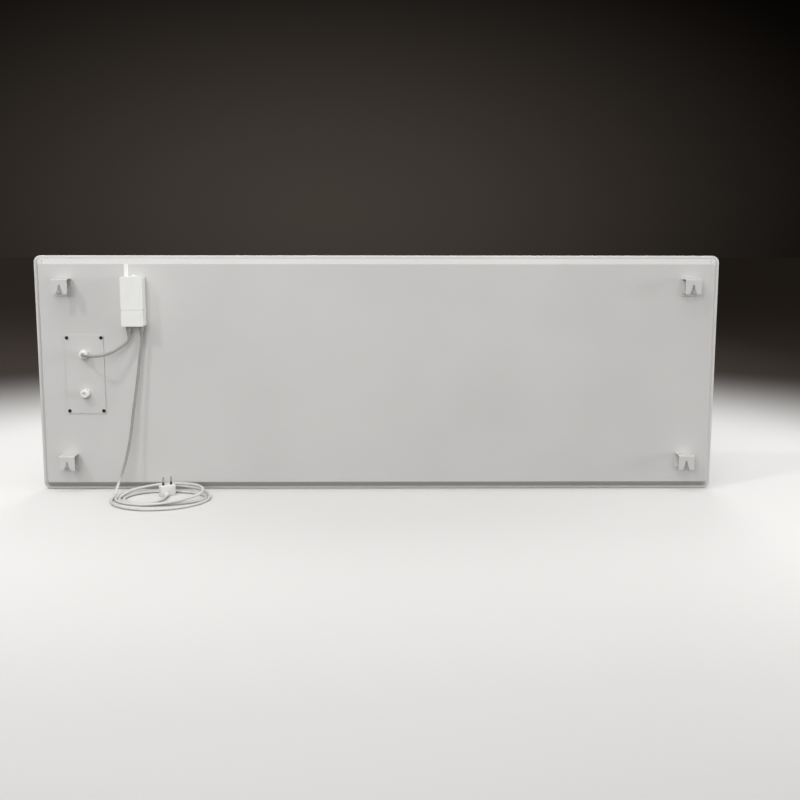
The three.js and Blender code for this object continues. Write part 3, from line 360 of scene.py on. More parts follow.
def cord_curve(name, route):
    """One open spline through the route, drawn as a round sheath."""
    data = bpy.data.curves.new(name, "CURVE")
    data.dimensions = "3D"
    data.bevel_depth = CORD / 2 * MM
    data.bevel_resolution = 5
    data.use_fill_caps = True
    data.resolution_u = 8
    spline = data.splines.new("BEZIER")
    spline.bezier_points.add(len(route) - 1)
    for point, spot in zip(spline.bezier_points, route):
        point.co = place(*spot)
        point.handle_left_type = point.handle_right_type = "AUTO"
    data.materials.append(pvc_white)
    made = bpy.data.objects.new(name, data)
    scene.collection.objects.link(made)
    return made


def finish_piece(made, body, slot, *nodes):
    """Makes a finished piece ride on its body and stand for its solids, which it hides; its slot is not
    used.
    """
    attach(made, body)
    if nodes:
        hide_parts(*nodes)


link_cord = cord_curve("link_cord", LINK_ROUTE)
finish_piece(link_cord, "heater", "cord_jacket", "link_cable")
mains_flex = cord_curve("mains_flex", DROP_ROUTE + coil_route())
finish_piece(mains_flex, "heater", "cord_jacket", "mains_cord", "mains_cord_coil")

# ------------------------------------------------------------------ making finished pieces

SHEET = 1.2     # steel of the panel's two halves
GAP = 0.3       # left between pieces that bear on each other, as in the solids
OUTWARD = Matrix.Rotation(math.radians(90), 4, "X")     # turns a piece's own Z towards the wall


def new_object(name, mesh):
    made = bpy.data.objects.new(name, mesh)
    scene.collection.objects.link(made)
    return made


def mesh_from(name, shape):
    """A mesh from a bmesh, with its faces turned outwards."""
    bmesh.ops.recalc_face_normals(shape, faces=shape.faces)
    mesh = bpy.data.meshes.new(name)
    shape.to_mesh(mesh)
    shape.free()
    return mesh


def bake(made):
    """Turns a piece with modifiers into a plain mesh."""
    graph = bpy.context.evaluated_depsgraph_get()
    mesh = bpy.data.meshes.new_from_object(made.evaluated_get(graph), depsgraph=graph)
    made.modifiers.clear()
    made.data = mesh


def round_edges(made, width, angle=38, segments=3):
    """Rolls over the edges that turn by more than an angle."""
    edge = made.modifiers.new("edge", "BEVEL")
    edge.width = width * MM
    edge.segments = segments
    edge.limit_method = "ANGLE"
    edge.angle_limit = math.radians(angle)
    bake(made)


def cut(made, cutter):
    """Takes a mesh away from a piece."""
    tool = new_object("cutter", cutter)
    taken = made.modifiers.new("cut", "BOOLEAN")
    taken.solver = "EXACT"
    taken.object = tool
    bake(made)
    bpy.data.objects.remove(tool)


def dress(made, finish, *nodes, smooth=35):
    """Gives a piece its finish and its shading, and puts it in the place of its solids."""
    mesh = made.data
    mesh.materials.clear()
    mesh.materials.append(finish)
    mesh.shade_smooth()
    mesh.set_sharp_from_angle(angle=math.radians(smooth))
    made.modifiers.new("flat_faces_lead", "WEIGHTED_NORMAL").keep_sharp = True
    bake(made)
    finish_piece(made, BODY_OF[nodes[0]], NODE_SLOT[nodes[0]], *nodes)
    return made


def finished_copy(node, finish, edge, segments=3, smooth=35):
    """A solid's copy with whole flat faces, edges rolled over by a radius and smooth curves."""
    source = frame["nodes"][node]
    shape = bmesh.new()
    shape.from_mesh(source.data)
    bmesh.ops.transform(shape, matrix=source.matrix_world, verts=shape.verts)
    bmesh.ops.remove_doubles(shape, verts=shape.verts, dist=0.000002)
    bmesh.ops.dissolve_limit(
        shape, angle_limit=math.radians(0.6), verts=shape.verts, edges=shape.edges,
    )
    made = new_object(f"{node}_finished", mesh_from(node, shape))
    round_edges(made, edge, segments=segments)
    return dress(made, finish, node, smooth=smooth)


def softened(profile, reach, steps=4):
    """A profile whose inner corners are rounded as far along their legs as a reach allows."""
    points = [Vector(p) for p in profile]
    rounded = [points[0]]
    for before, here, after in zip(points, points[1:], points[2:]):
        start = here.lerp(before, min(0.45, reach / (before - here).length))
        end = here.lerp(after, min(0.45, reach / (after - here).length))
        for step in range(steps + 1):
            share = step / steps
            rounded.append(start.lerp(here, share).lerp(here.lerp(end, share), share))
    return rounded + [points[-1]]


def rounded_rectangle(middle, half, corner, y, steps=10):
    """Points round a rectangle with round corners that lies across the depth y."""
    ring = []
    for quarter in range(4):
        side = 1 if quarter in (0, 3) else -1
        rise = 1 if quarter < 2 else -1
        for step in range(steps + 1):
            angle = (quarter + step / steps) * math.pi / 2
            ring.append(place(
                middle[0] + side * (half[0] - corner) + corner * math.cos(angle), y,
                middle[1] + rise * (half[1] - corner) + corner * math.sin(angle),
            ))
    return ring


def ring_body(name, middle, half, profile, hollow=False):
    """A closed body through rings, each (inset across, inset up, corner, depth) from an outline.

    It is capped at both ends, or joined end to end into a frame where it is hollow.
    """
    shape = bmesh.new()
    rings = []
    for inset_x, inset_z, corner, y in profile:
        spots = rounded_rectangle(middle, (half[0] - inset_x, half[1] - inset_z), max(corner, 0.2), y)
        rings.append([shape.verts.new(spot) for spot in spots])
    for low, high in zip(rings, rings[1:] + rings[:1] if hollow else rings[1:]):
        for i, vert in enumerate(low):
            shape.faces.new((low[i - 1], vert, high[i], high[i - 1]))
    if not hollow:
        shape.faces.new(rings[0])
        shape.faces.new(rings[-1])
    return new_object(name, mesh_from(name, shape))


def turned(profile, sides=48):
    """A closed solid turned round Z from (radius, height) points, or a tube if they close."""
    shape = bmesh.new()
    rings = []
    for radius, height in profile:
        spots = sides if radius > 0 else 1
        rings.append([shape.verts.new((
            radius * MM * math.cos(2 * math.pi * i / sides),
            radius * MM * math.sin(2 * math.pi * i / sides), height * MM,
        )) for i in range(spots)])
    if tuple(profile[0]) == tuple(profile[-1]):
        for vert in rings.pop():
            shape.verts.remove(vert)
        rings.append(rings[0])
    for low, high in zip(rings, rings[1:]):
        for i in range(sides):
            corners = (low[i - 1 if len(low) > 1 else 0], low[i % len(low)],
                       high[i % len(high)], high[i - 1 if len(high) > 1 else 0])
            shape.faces.new(list(dict.fromkeys(corners)))
    return shape


def add_box(shape, x, y, z):
    """Adds a box between two values of each of the panel's own axes."""
    low, high = place(x[0], y[0], z[0]), place(x[1], y[1], z[1])
    made = bmesh.ops.create_cube(shape, size=1.0)["verts"]
    size = Matrix.Diagonal((*(high - low), 1))
    bmesh.ops.transform(shape, matrix=Matrix.Translation((low + high) / 2) @ size, verts=made)


def add_hole(shape, x, z, diameter):
    """Adds a rod through the back plate."""
    made = bmesh.ops.create_cone(
        shape, cap_ends=True, segments=24, radius1=diameter / 2 * MM, radius2=diameter / 2 * MM,
        depth=8 * MM,
    )["verts"]
    bmesh.ops.transform(shape, matrix=Matrix.Translation(place(x, 0, z)) @ OUTWARD, verts=made)


def moved(shape, matrix):
    bmesh.ops.transform(shape, matrix=matrix, verts=shape.verts)
    return shape


# ------------------------------------------------------------------ what repeats

def repeat_tree():
    """Sets one part at every point of a mesh, each turned a step further about the depth axis."""
    tree = bpy.data.node_groups.new("set_parts_at_points", "GeometryNodeTree")
    tree.is_modifier = True
    for name, kind in (
        ("Points", "NodeSocketGeometry"), ("Part", "NodeSocketObject"),
        ("Turn step", "NodeSocketFloat"), ("Finish", "NodeSocketMaterial"),
    ):
        tree.interface.new_socket(name, in_out="INPUT", socket_type=kind)
    tree.interface.new_socket("Geometry", in_out="OUTPUT", socket_type="NodeSocketGeometry")
    given = add(tree, "NodeGroupInput")
    part = add(tree, "GeometryNodeObjectInfo", {"Object": given.outputs["Part"]})
    index = add(tree, "GeometryNodeInputIndex")
    turn = add(tree, "ShaderNodeMath", {
        0: index.outputs["Index"], 1: given.outputs["Turn step"],
    }, operation="MULTIPLY")
    about_y = add(tree, "ShaderNodeCombineXYZ", {"Y": turn.outputs["Value"]})
    rotation = add(tree, "FunctionNodeEulerToRotation", {"Euler": about_y.outputs["Vector"]})
    points = add(tree, "GeometryNodeMeshToPoints", {"Mesh": given.outputs["Points"]})
    parts = add(tree, "GeometryNodeInstanceOnPoints", {
        "Points": points.outputs["Points"], "Instance": part.outputs["Geometry"],
        "Rotation": rotation.outputs["Rotation"],
    })
    real = add(tree, "GeometryNodeRealizeInstances", {"Geometry": parts.outputs["Instances"]})
    finished = add(tree, "GeometryNodeSetMaterial", {
        "Geometry": real.outputs["Geometry"], "Material": given.outputs["Finish"],
    })
    add(tree, "NodeGroupOutput", {"Geometry": finished.outputs["Geometry"]})
    return tree


REPEAT = repeat_tree()


def repeated(name, shape, spots, finish, nodes, step_degrees=0.0, like=None, smooth=35):
    """One piece made of a part set at many spots, standing for nodes or riding like one."""
    part = new_object(f"{name}_part", mesh_from(name, shape))
    points = bpy.data.meshes.new(name)
    points.from_pydata([place(*spot) for spot in spots], [], [])
    made = new_object(name, points)
    modifier = made.modifiers.new("repeat", "NODES")
    modifier.node_group = REPEAT
    values = {"Part": part, "Turn step": math.radians(step_degrees), "Finish": finish}
    for socket in REPEAT.interface.items_tree:
        if socket.item_type == "SOCKET" and socket.name in values:
            modifier[socket.identifier] = values[socket.name]
    bake(made)
    bpy.data.objects.remove(part)
    made.data.shade_smooth()
    made.data.set_sharp_from_angle(angle=math.radians(smooth))
    rides_like = nodes[0] if nodes else like
    finish_piece(made, BODY_OF[rides_like], NODE_SLOT[rides_like], *nodes)


# ------------------------------------------------------------------ casing

WIDTH, HEIGHT, DEPTH = 1600, 555, 24
MIDDLE, HALF = (0, HEIGHT / 2), (WIDTH / 2, HEIGHT / 2)
END = -WIDTH / 2
TRAY_FLOOR = DEPTH - SHEET
CASING_CORNER = 16

# The front tray: a flat face, low walls and a hem rolled inwards round the back.
HEM = {"roll": 2.5, "back": 14, "front": 19}
tray = [(SHEET, TRAY_FLOOR), (SHEET, HEM["front"]), (2 * HEM["roll"], HEM["front"])]
for hem_step in range(13):
    hem_angle = math.pi * hem_step / 12
    tray.append((
        HEM["roll"] * (1 + math.cos(hem_angle)), HEM["back"] + HEM["roll"] * (1 - math.sin(hem_angle)),
    ))
for edge_step in range(5):
    edge_angle = math.pi / 2 * edge_step / 4
    tray.append((2 * (1 - math.cos(edge_angle)), DEPTH - 2 + 2 * math.sin(edge_angle)))
casing = ring_body("casing_tray", MIDDLE, HALF, [(i, i, CASING_CORNER - i, y) for i, y in tray])
dress(casing, coat_white, "front_panel")

# The back pan: a flat plate whose four sides fold forward in a bevel, then run into the tray.
GROOVE, FOOT, SIDE, TOP_BEVEL = 6.5, 13, 14.5, 19.3
PAN_INSIDE = GROOVE + SHEET
pan_folds = softened([
    (SIDE + SHEET, TOP_BEVEL + SHEET, 6, SHEET),
    (PAN_INSIDE, PAN_INSIDE, 12 - SHEET, FOOT + SHEET / 2),
    (PAN_INSIDE, PAN_INSIDE, 12 - SHEET, TRAY_FLOOR - GAP),
    (GROOVE, GROOVE, 12, TRAY_FLOOR - GAP),
    (GROOVE, GROOVE, 12, FOOT),
    (SIDE, TOP_BEVEL, 6, 0),
], 1.6)[:-1]
pan_edge = [
    (SIDE - 0.6, TOP_BEVEL - 0.9, 6, 0.7), (SIDE, TOP_BEVEL, 6, 0.16), (SIDE + 1, TOP_BEVEL + 1.2, 6, 0),
]
pan = ring_body("back_pan", MIDDLE, HALF, pan_folds + pan_edge)

# A bead of paint-coloured sealant fills the groove between the hem and the pan almost level.
seal = ring_body("groove_seal", MIDDLE, HALF, [
    (4.6, 4.6, 11.4, 17), (6.4, 6.4, 12, 17), (6.4, 6.4, 12, 13.75), (5.9, 5.9, 11.9, 13.6),
    (5.0, 5.0, 11.6, 13.75), (4.0, 4.0, 11.9, 14.05), (3.3, 3.3, 12.5, 14.35), (3.8, 3.8, 12, 15.4),
], hollow=True)
seal.data.materials.append(coat_grey)
seal.data.shade_smooth()
finish_piece(seal, "heater", NODE_SLOT["back_cover"])

SERVICE = {"x": END + 114, "z": HEIGHT / 2 + 0.5, "open_x": 33, "open_z": 75}
SCREW_SPOTS = [
    (SERVICE["x"] + across * 40, SERVICE["z"] + up * 86.3) for up in (1, -1) for across in (-1, 1)
]
BRACKET_TOPS = {"upper": HEIGHT - 52.6, "lower": 89.4}
BRACKET_X = {"left": END + 72, "right": -END - 72}
RIVET_SPOTS = [
    (BRACKET_X[side] + across * 11.5, BRACKET_TOPS[level] - 40.4 + 7.6)
    for level in ("upper", "lower") for side in ("left", "right") for across in (-1, 1)
]
STRAP_X = (END + 212.8, END + 223)
SEAM_FROM_END = 22
openings = bmesh.new()
add_box(
    openings, (SERVICE["x"] - SERVICE["open_x"], SERVICE["x"] + SERVICE["open_x"]), (-4, 4),
    (SERVICE["z"] - SERVICE["open_z"], SERVICE["z"] + SERVICE["open_z"]),
)
# Each head has a radius, a height, and the share of that height that stands at its rim.
RIVET = {"head": 4, "crown": 2.2, "rim": 0.25, "hole": 4.8}
SCREW = {"head": 4.1, "crown": 2.4, "rim": 0.3, "hole": 4.4}
for spot in SCREW_SPOTS:
    add_hole(openings, *spot, SCREW["hole"])
for spot in RIVET_SPOTS:
    add_hole(openings, *spot, RIVET["hole"])
add_box(
    openings, (STRAP_X[0] - GAP, STRAP_X[1] + GAP), (-4, 4),
    (HEIGHT - TOP_BEVEL - 1.2 - 3 * GAP - 1.2, HEIGHT - TOP_BEVEL - 1.2),
)
# A fine step in the pan runs beside the service plate's right and lower edges.
STEP = {"wide": 1.7, "deep": 0.9}
plate_right, plate_foot = SERVICE["x"] + 45, SERVICE["z"] - 93
add_box(openings, (plate_right - 0.2, plate_right + STEP["wide"]), (-4, STEP["deep"]),
        (plate_foot - STEP["wide"], plate_foot + 184))
add_box(openings, (SERVICE["x"] - 43, plate_right - 0.25), (-4, STEP["deep"]),
        (plate_foot - STEP["wide"], plate_foot + 0.2))
# Open slits where the pan's corners are folded, one near each end of the top bevel.
for end in (-1, 1):
    slit = end * (WIDTH / 2 - SEAM_FROM_END)
    add_box(openings, (slit - 0.45, slit + 0.45), (2, 10.4), (HEIGHT - 17.4, HEIGHT - 8.8))
cut(pan, mesh_from("openings", openings))
dress(pan, coat_grey, "back_cover")

for level in BRACKET_TOPS:
    for side in BRACKET_X:
        finished_copy(f"bracket_{level}_{side}", coat_grey, 0.35, segments=2)


def domed_head(kind, first, step):
    """The outline of a head's dome, from near its middle out to its rim, at steps in degrees."""
    outline = []
    for degrees in range(first, 91, step):
        angle = math.radians(degrees)
        share = kind["rim"] + (1 - kind["rim"]) * math.cos(angle)
        outline.append((kind["head"] * math.sin(angle), kind["crown"] * share))
    return outline


RIVET_NODES = [
    f"rivet_{level}_{side}_{tag}" for level in ("upper", "lower") for side in ("left", "right")
    for tag in "ab"
]
RIVET_SEAT = -GAP - 1.5 - GAP
rivet = turned([(0, RIVET["crown"])] + domed_head(RIVET, 12, 13) + [
    (4, 0.12), (3.9, 0), (2, 0), (2, -4.8), (3, -4.8), (3, -6.6), (2.8, -6.8), (0, -6.8),
], 40)
repeated(
    "rivets", moved(rivet, OUTWARD), [(x, RIVET_SEAT, z) for x, z in RIVET_SPOTS], coat_grey,
    RIVET_NODES,
)

# ------------------------------------------------------------------ service plate, screws and glands

PLATE_OUT = -GAP - 1
finished_copy("service_plate", coat_grey, 0.25, segments=2)


def screw_head():
    """A pan-head screw with a cross recess, its seat at the origin and its shank behind."""
    dome = domed_head(SCREW, 15, 15)
    shank = [(4.1, 0.15), (3.95, 0), (1.8, 0), (1.8, -6.6), (1.4, -7), (0, -7)]
    outline = [(0, SCREW["crown"])] + dome + shank
    made = new_object("screw", mesh_from("screw", turned(outline, 40)))
    for wide, tall in ((0.9, 4.2), (4.2, 0.9)):
        arm = bmesh.new()
        bmesh.ops.create_cube(arm, size=1.0)
        size = Matrix.Diagonal((wide * MM, tall * MM, 3 * MM, 1))
        cut(made, mesh_from("recess", moved(arm, Matrix.Translation((0, 0, 2.7 * MM)) @ size)))
    shape = bmesh.new()
    shape.from_mesh(made.data)
    bpy.data.objects.remove(made)
    return shape


SCREW_NODES = [f"service_screw_{row}_{side}" for row in ("top", "bottom") for side in ("left", "right")]
repeated(
    "service_screws", moved(screw_head(), OUTWARD), [(x, PLATE_OUT - GAP, z) for x, z in SCREW_SPOTS],
    oxide_black, SCREW_NODES, step_degrees=37,
)

GLAND_Z = {"link": SERVICE["z"] + 2 + 46, "spare": SERVICE["z"] + 2 - 46}
CAP_SEAT = PLATE_OUT - GAP - 5 - GAP
CAP = {"radius": 10.5, "bore": 3.7, "flutes": 24}
cap_crown = [(CAP["radius"] - 0.5 - 3.2 * (1 - math.cos(a)), 8.6 + 3.4 * math.sin(a))
             for a in (math.pi / 2 * i / 8 for i in range(9))]
for which, gland_z in GLAND_Z.items():
    finished_copy(f"{which}_gland_body", nylon_white, 0.4)
    cap_profile = [(CAP["bore"], 0), (9.4, 0), (10, 0.6)] + cap_crown
    cap_profile += [(4.5, 12), (4.0, 11.8), (CAP["bore"], 11.3), (CAP["bore"], 0)]
    cap = new_object(f"{which}_cap", mesh_from("cap", moved(
        turned(cap_profile, 64), Matrix.Translation(place(SERVICE["x"], CAP_SEAT, gland_z)) @ OUTWARD,
    )))
    dress(cap, nylon_white, f"{which}_gland_cap")
    flute = bmesh.new()
    rib = bmesh.ops.create_cone(
        flute, cap_ends=True, segments=12, radius1=0.75 * MM, radius2=0.6 * MM, depth=8.2 * MM,
    )["verts"]
    bmesh.ops.transform(flute, matrix=Matrix.Translation((9.75 * MM, 0, 4.9 * MM)), verts=rib)
    repeated(
        f"{which}_cap_flutes", moved(flute, OUTWARD),
        [(SERVICE["x"], CAP_SEAT, gland_z)] * CAP["flutes"], nylon_white, [],
        step_degrees=360 / CAP["flutes"], like=f"{which}_gland_cap",
    )
finished_copy("spare_gland_blank", rubber, 0.5)

# ------------------------------------------------------------------ receiver box, strap and switch

BOX = {"left": END + 210.5, "right": END + 261.5, "bottom": HEIGHT - 162.5, "top": HEIGHT - 48}
BOX_WALL, BOX_FRONT, BOX_SEAM = 1.8, -35.8, -26 - GAP
SEAM_Z, SEAM_GROOVE = BOX["bottom"] + 37.4, 1.4
finished_copy("receiver_back_shell", abs_white, 0.4)


def box_lid(name, bottom, top):
    """A shallow lid over the box's open front, with a soft moulded edge."""
    middle = ((BOX["left"] + BOX["right"]) / 2, (bottom + top) / 2)
    half = ((BOX["right"] - BOX["left"]) / 2, (top - bottom) / 2)
    lid = [(BOX_WALL, BOX_FRONT + BOX_WALL), (BOX_WALL, BOX_SEAM), (0, BOX_SEAM)]
    for step in range(6):
        angle = math.pi / 2 * step / 5
        lid.append((0.8 * (1 - math.cos(angle)), BOX_FRONT + 0.8 * (1 - math.sin(angle))))
    return ring_body(name, middle, half, [(i, i, 3.5 - i, y) for i, y in lid])


front_cover = box_lid("receiver_cover", SEAM_Z + SEAM_GROOVE / 2, BOX["top"])
terminal_cover = box_lid("terminal_cover", BOX["bottom"], SEAM_Z - SEAM_GROOVE / 2)
# The terminal cover's face is let in between two fine upright lines.
lines = bmesh.new()
for line_x in (BOX["left"] + 3, BOX["right"] - 4.6):
    add_box(lines, (line_x - 0.3, line_x + 0.3), (BOX_FRONT - 1, BOX_FRONT + 0.5),
            (BOX["bottom"] + 2.4, SEAM_Z + 1))
cut(terminal_cover, mesh_from("lines", lines))
# A tongue closes the seam just behind the two faces.
tongue = ring_body(
    "cover_tongue", ((BOX["left"] + BOX["right"]) / 2, SEAM_Z), (25, SEAM_GROOVE / 2 - 0.05),
    [(0, 0, 0.3, BOX_SEAM), (0, 0, 0.3, BOX_FRONT + 0.45), (0.1, 0.1, 0.2, BOX_FRONT + 0.35)],
)
dress(front_cover, abs_white, "receiver_front_cover")
dress(terminal_cover, abs_white, "receiver_terminal_cover")
tongue.data.materials.append(abs_white)
finish_piece(tongue, "heater", NODE_SLOT["receiver_front_cover"])
finished_copy("receiver_strap", strap_white, 0.35, segments=2)
finished_copy("switch_body", abs_white, 0.45)
# the rocker is painted whiter as a painted highlight
finished_copy("switch_rocker", rocker_painted_highlight_white, 0.5)

# ------------------------------------------------------------------ strain reliefs and plug

RELIEF_Y = -16
RELIEF_SPOTS = {"link_relief": END + 223, "mains_relief": END + 252.7}
sleeve = [(0, 4.1), (6.5, 4.1), (6.5, 2.1), (4.2, 2.1), (4.2, -0.3), (5.9, -0.3), (6.3, -0.8)]
sleeve += [(6.3, -9.1), (5.9, -9.9), (4.9, -11.1)]
for rib_step in range(4):
    rib_z = -11.2 - 2.3 * rib_step
    sleeve += [(4.9 - 0.08 * rib_step, rib_z - 0.7), (4.1, rib_z - 1.0), (4.1, rib_z - 1.8)]
    sleeve += [(4.8 - 0.08 * rib_step, rib_z - 2.1)]
sleeve += [(4.5, -20.9), (4.2, -21.3), (0, -21.3)]
for relief_node, relief_x in RELIEF_SPOTS.items():
    relief_piece = new_object(f"{relief_node}_sleeve", mesh_from("sleeve", moved(
        turned(sleeve, 48), Matrix.Translation(place(relief_x, RELIEF_Y, BOX["bottom"])),
    )))
    # the sleeves take a grey that is painted shade under the box
    dress(relief_piece, pvc_painted_shade_grey, relief_node)

finished_copy("plug_body", pvc_moulded, 0.8)
finished_copy("plug_relief", pvc_moulded, 0.4)
PLUG_TURN = Matrix.Rotation(math.radians(PLUG["turn"]), 4, "Z")


def plug_spot(across, out, height):
    """A point of the plug, which stands turned a little on the floor."""
    spot = PLUG_TURN @ Vector((across, out, height))
    return (spot.x + PLUG["x"], spot.y + PLUG["y"], spot.z)


bar = bmesh.new()
bmesh.ops.create_icosphere(bar, subdivisions=3, radius=1.0)
bar_size = Matrix.Diagonal((8 * MM, 0.55 * MM, 0.7 * MM, 1))
bmesh.ops.transform(bar, matrix=PLUG_TURN @ bar_size, verts=bar.verts)
repeated(
    "plug_grip", bar,
    [plug_spot(0, face * PLUG["depth"] / 2, height) for face in (-1, 1) for height in (13, 16, 19)],
    pvc_moulded, [], like="plug_body",
)
PIN = {"apart": 19, "radius": 2, "length": 19, "in_body": 8, "sleeve": 6.5}
for pin_side, across in (("left", -PIN["apart"] / 2), ("right", PIN["apart"] / 2)):
    stand = Matrix.Translation(place(*plug_spot(across, 0, 0)))
    pin_foot, pin_tip = PLUG["height"] - PIN["in_body"] + GAP, PLUG["height"] + PIN["length"]
    pin_dome = [(PIN["radius"] * math.cos(a), pin_tip - 1.6 + 1.6 * math.sin(a))
                for a in (math.pi / 2 * i / 7 for i in range(7))]
    pin = [(0, pin_foot), (1.7, pin_foot), (PIN["radius"], pin_foot + 0.3)] + pin_dome + [(0, pin_tip)]
    dress(new_object(f"pin_{pin_side}", mesh_from("pin", moved(turned(pin, 32), stand))),
          nickel, f"plug_pin_{pin_side}")
    end = PLUG["height"] + PIN["sleeve"]
    collar = [
        (2.1, pin_foot), (2.45, pin_foot), (2.45, end - 0.3), (2.3, end), (2.1, end), (2.1, pin_foot),
    ]
    dress(new_object(f"sleeve_{pin_side}", mesh_from("sleeve", moved(turned(collar, 32), stand))),
          nylon_black, f"plug_sleeve_{pin_side}")

# ------------------------------------------------------------------ floor, backdrop and light

FLOOR_BOUNCE = "#5E5C5A"
# The studio floor's colour is a painted pool of light, by distance from the heater in metres: pale, then
# into the dark.
FLOOR_PAINTED_LIGHT_POOL = [(0.2, "#E6E4E2"), (1.3, "#F8F6F4"), (3.0, "#4A433E"), (10.0, "#38312B")]
FADE_MIDDLE = 2.0       # distance that falls halfway along the ramp
# Metres between which painted shade dims the floor, and how far it goes: towards the camera, and to the
# right.
PAINTED_SHADE_NEAR = (-1.5, -0.4, 0.7)
PAINTED_SHADE_RIGHT = (1.3, 2.3, 0.5)


def make_floor():
    mesh = bpy.data.meshes.new("studio_floor")
    shape = bmesh.new()
    bmesh.ops.create_circle(shape, cap_ends=True, segments=96, radius=60.0)
    shape.to_mesh(mesh)
    shape.free()
    floor = bpy.data.objects.new("studio_floor", mesh)
    floor.location = (0, 0, FLOOR_Z)
    scene.collection.objects.link(floor)
    made = bpy.data.materials.new("studio_floor_painted_light_pool")
    made.use_nodes = True
    tree = made.node_tree
    tree.nodes.clear()
    coords = add(tree, "ShaderNodeTexCoord")
    distance = add(tree, "ShaderNodeVectorMath", {0: coords.outputs["Object"]}, operation="LENGTH")
    reach = add(tree, "ShaderNodeMath", {0: distance.outputs["Value"], 1: FADE_MIDDLE}, operation="ADD")
    share = add(tree, "ShaderNodeMath", {
        0: distance.outputs["Value"], 1: reach.outputs["Value"],
    }, operation="DIVIDE")
    ramp = add(tree, "ShaderNodeValToRGB", {"Fac": share.outputs["Value"]})
    stops = ramp.color_ramp.elements
    ramp.color_ramp.interpolation = "EASE"
    while len(stops) < len(FLOOR_PAINTED_LIGHT_POOL):
        stops.new(0.5)
    for stop, (far, colour) in zip(stops, FLOOR_PAINTED_LIGHT_POOL):
        stop.position = far / (far + FADE_MIDDLE)
        stop.color = srgb(colour)
    across = add(tree, "ShaderNodeSeparateXYZ", {"Vector": coords.outputs["Object"]})
    near = add(tree, "ShaderNodeMapRange", {
        "Value": across.outputs["Y"], "From Min": PAINTED_SHADE_NEAR[0], "From Max": PAINTED_SHADE_NEAR[1],
        "To Min": PAINTED_SHADE_NEAR[2], "To Max": 1.0,
    }, interpolation_type="SMOOTHSTEP")
    aside = add(tree, "ShaderNodeMapRange", {
        "Value": across.outputs["X"], "From Min": PAINTED_SHADE_RIGHT[0], "From Max": PAINTED_SHADE_RIGHT[1],
        "To Min": 1.0, "To Max": PAINTED_SHADE_RIGHT[2],
    })
    # painted shade towards the camera and to the right, on top of the painted pool of light
    painted_dimming = add(tree, "ShaderNodeMath", {
        0: near.outputs["Result"], 1: aside.outputs["Result"],
    }, operation="MULTIPLY")
    pool = add(tree, "ShaderNodeVectorMath", {
        0: ramp.outputs["Color"], "Scale": painted_dimming.outputs["Value"],
    }, operation="SCALE")
    # the painted pool is shown to camera and glossy rays; light that bounces off the floor takes the
    # plain bounce colour
    rays = add(tree, "ShaderNodeLightPath")
    seen = add(tree, "ShaderNodeMath", {
        0: rays.outputs["Is Camera Ray"], 1: rays.outputs["Is Glossy Ray"],
    }, operation="MAXIMUM")
    colour = add(tree, "ShaderNodeMix", {
        "Factor": seen.outputs["Value"], 6: srgb(FLOOR_BOUNCE), 7: pool.outputs["Vector"],
    }, data_type="RGBA")
    surface = add(tree, "ShaderNodeBsdfDiffuse", {"Color": colour.outputs[2]})
    add(tree, "ShaderNodeOutputMaterial", {"Surface": surface.outputs["BSDF"]})
    mesh.materials.append(made)


# The backdrop's faint warm glow eases from its middle into near black.
GLOW_COLOUR = "#403A35"
DARK_COLOUR = "#040302"
GLOW_REACH = 0.56
GLOW_MIDDLE = (-0.06, 0.035)
GLOW_FLATNESS = 2.0


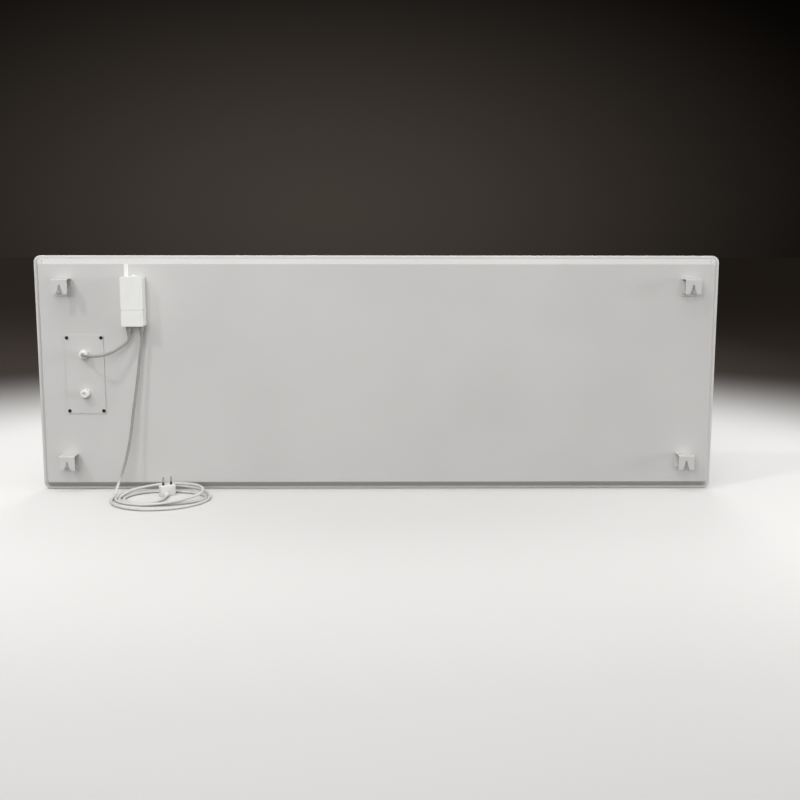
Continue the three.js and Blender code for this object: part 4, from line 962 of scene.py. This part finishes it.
def make_world():
    """A dark studio to look at, and an even soft light from all round for everything else."""
    world = bpy.data.worlds.new("studio")
    scene.world = world
    world.use_nodes = True
    tree = world.node_tree
    tree.nodes.clear()
    coords = add(tree, "ShaderNodeTexCoord")
    flattened = add(tree, "ShaderNodeMapping", {
        "Vector": coords.outputs["Generated"], "Scale": (1, 0, GLOW_FLATNESS),
        "Location": (-GLOW_MIDDLE[0], 0, -GLOW_MIDDLE[1] * GLOW_FLATNESS),
    })
    off = add(tree, "ShaderNodeVectorMath", {0: flattened.outputs["Vector"]}, operation="LENGTH")
    fade = add(tree, "ShaderNodeMapRange", {
        "Value": off.outputs["Value"], "From Max": GLOW_REACH,
    }, interpolation_type="SMOOTHSTEP")
    backdrop = add(tree, "ShaderNodeMix", {
        "Factor": fade.outputs["Result"], 6: srgb(GLOW_COLOUR), 7: srgb(DARK_COLOUR),
    }, data_type="RGBA")
    shown = add(tree, "ShaderNodeBackground", {"Color": backdrop.outputs[2], "Strength": 1.0})
    fill = add(tree, "ShaderNodeBackground", {"Color": srgb("#FFFFFF"), "Strength": 0.48})
    rays = add(tree, "ShaderNodeLightPath")
    glossy = add(tree, "ShaderNodeMath", {
        0: rays.outputs["Is Glossy Ray"], 1: rays.outputs["Is Transmission Ray"],
    }, operation="MAXIMUM")
    seen = add(tree, "ShaderNodeMath", {
        0: rays.outputs["Is Camera Ray"], 1: glossy.outputs["Value"],
    }, operation="MAXIMUM")
    mix = add(tree, "ShaderNodeMixShader", {
        0: seen.outputs["Value"], 1: fill.outputs["Background"], 2: shown.outputs["Background"],
    })
    add(tree, "ShaderNodeOutputWorld", {"Surface": mix.outputs["Shader"]})


def softbox(name, towards, distance, size, power):
    """A square lamp that stands off from the heater in a direction and faces it."""
    data = bpy.data.lights.new(name, "AREA")
    data.shape = "SQUARE"
    data.size = size
    data.energy = power
    lamp = bpy.data.objects.new(name, data)
    away = Vector(towards).normalized()
    lamp.location = away * distance + Vector((0, 0, FLOOR_Z / 2))
    lamp.rotation_euler = away.to_track_quat("Z", "Y").to_euler()
    scene.collection.objects.link(lamp)


def even_light(name, towards, strength, spread):
    """A broad parallel light, from a direction and over a spread of degrees, with no near edge."""
    data = bpy.data.lights.new(name, "SUN")
    data.energy = strength
    data.angle = math.radians(spread)
    lamp = bpy.data.objects.new(name, data)
    lamp.rotation_euler = Vector(towards).to_track_quat("Z", "Y").to_euler()
    scene.collection.objects.link(lamp)


make_floor()
make_world()
softbox("top", (-0.1, -0.35, 1.0), 5.0, 3.2, 58)
softbox("front", (-0.18, -1.0, 0.38), 6.0, 3.6, 130)
softbox("key", (-0.55, -0.466, 0.69), 4.6, 0.35, 31)
softbox("edge", (1.0, -0.24, 0.1), 9.0, 3.0, 290)
even_light("back", (0.1, 1.0, 0.18), 1.7, 30)

scene.view_settings.view_transform = "Standard"
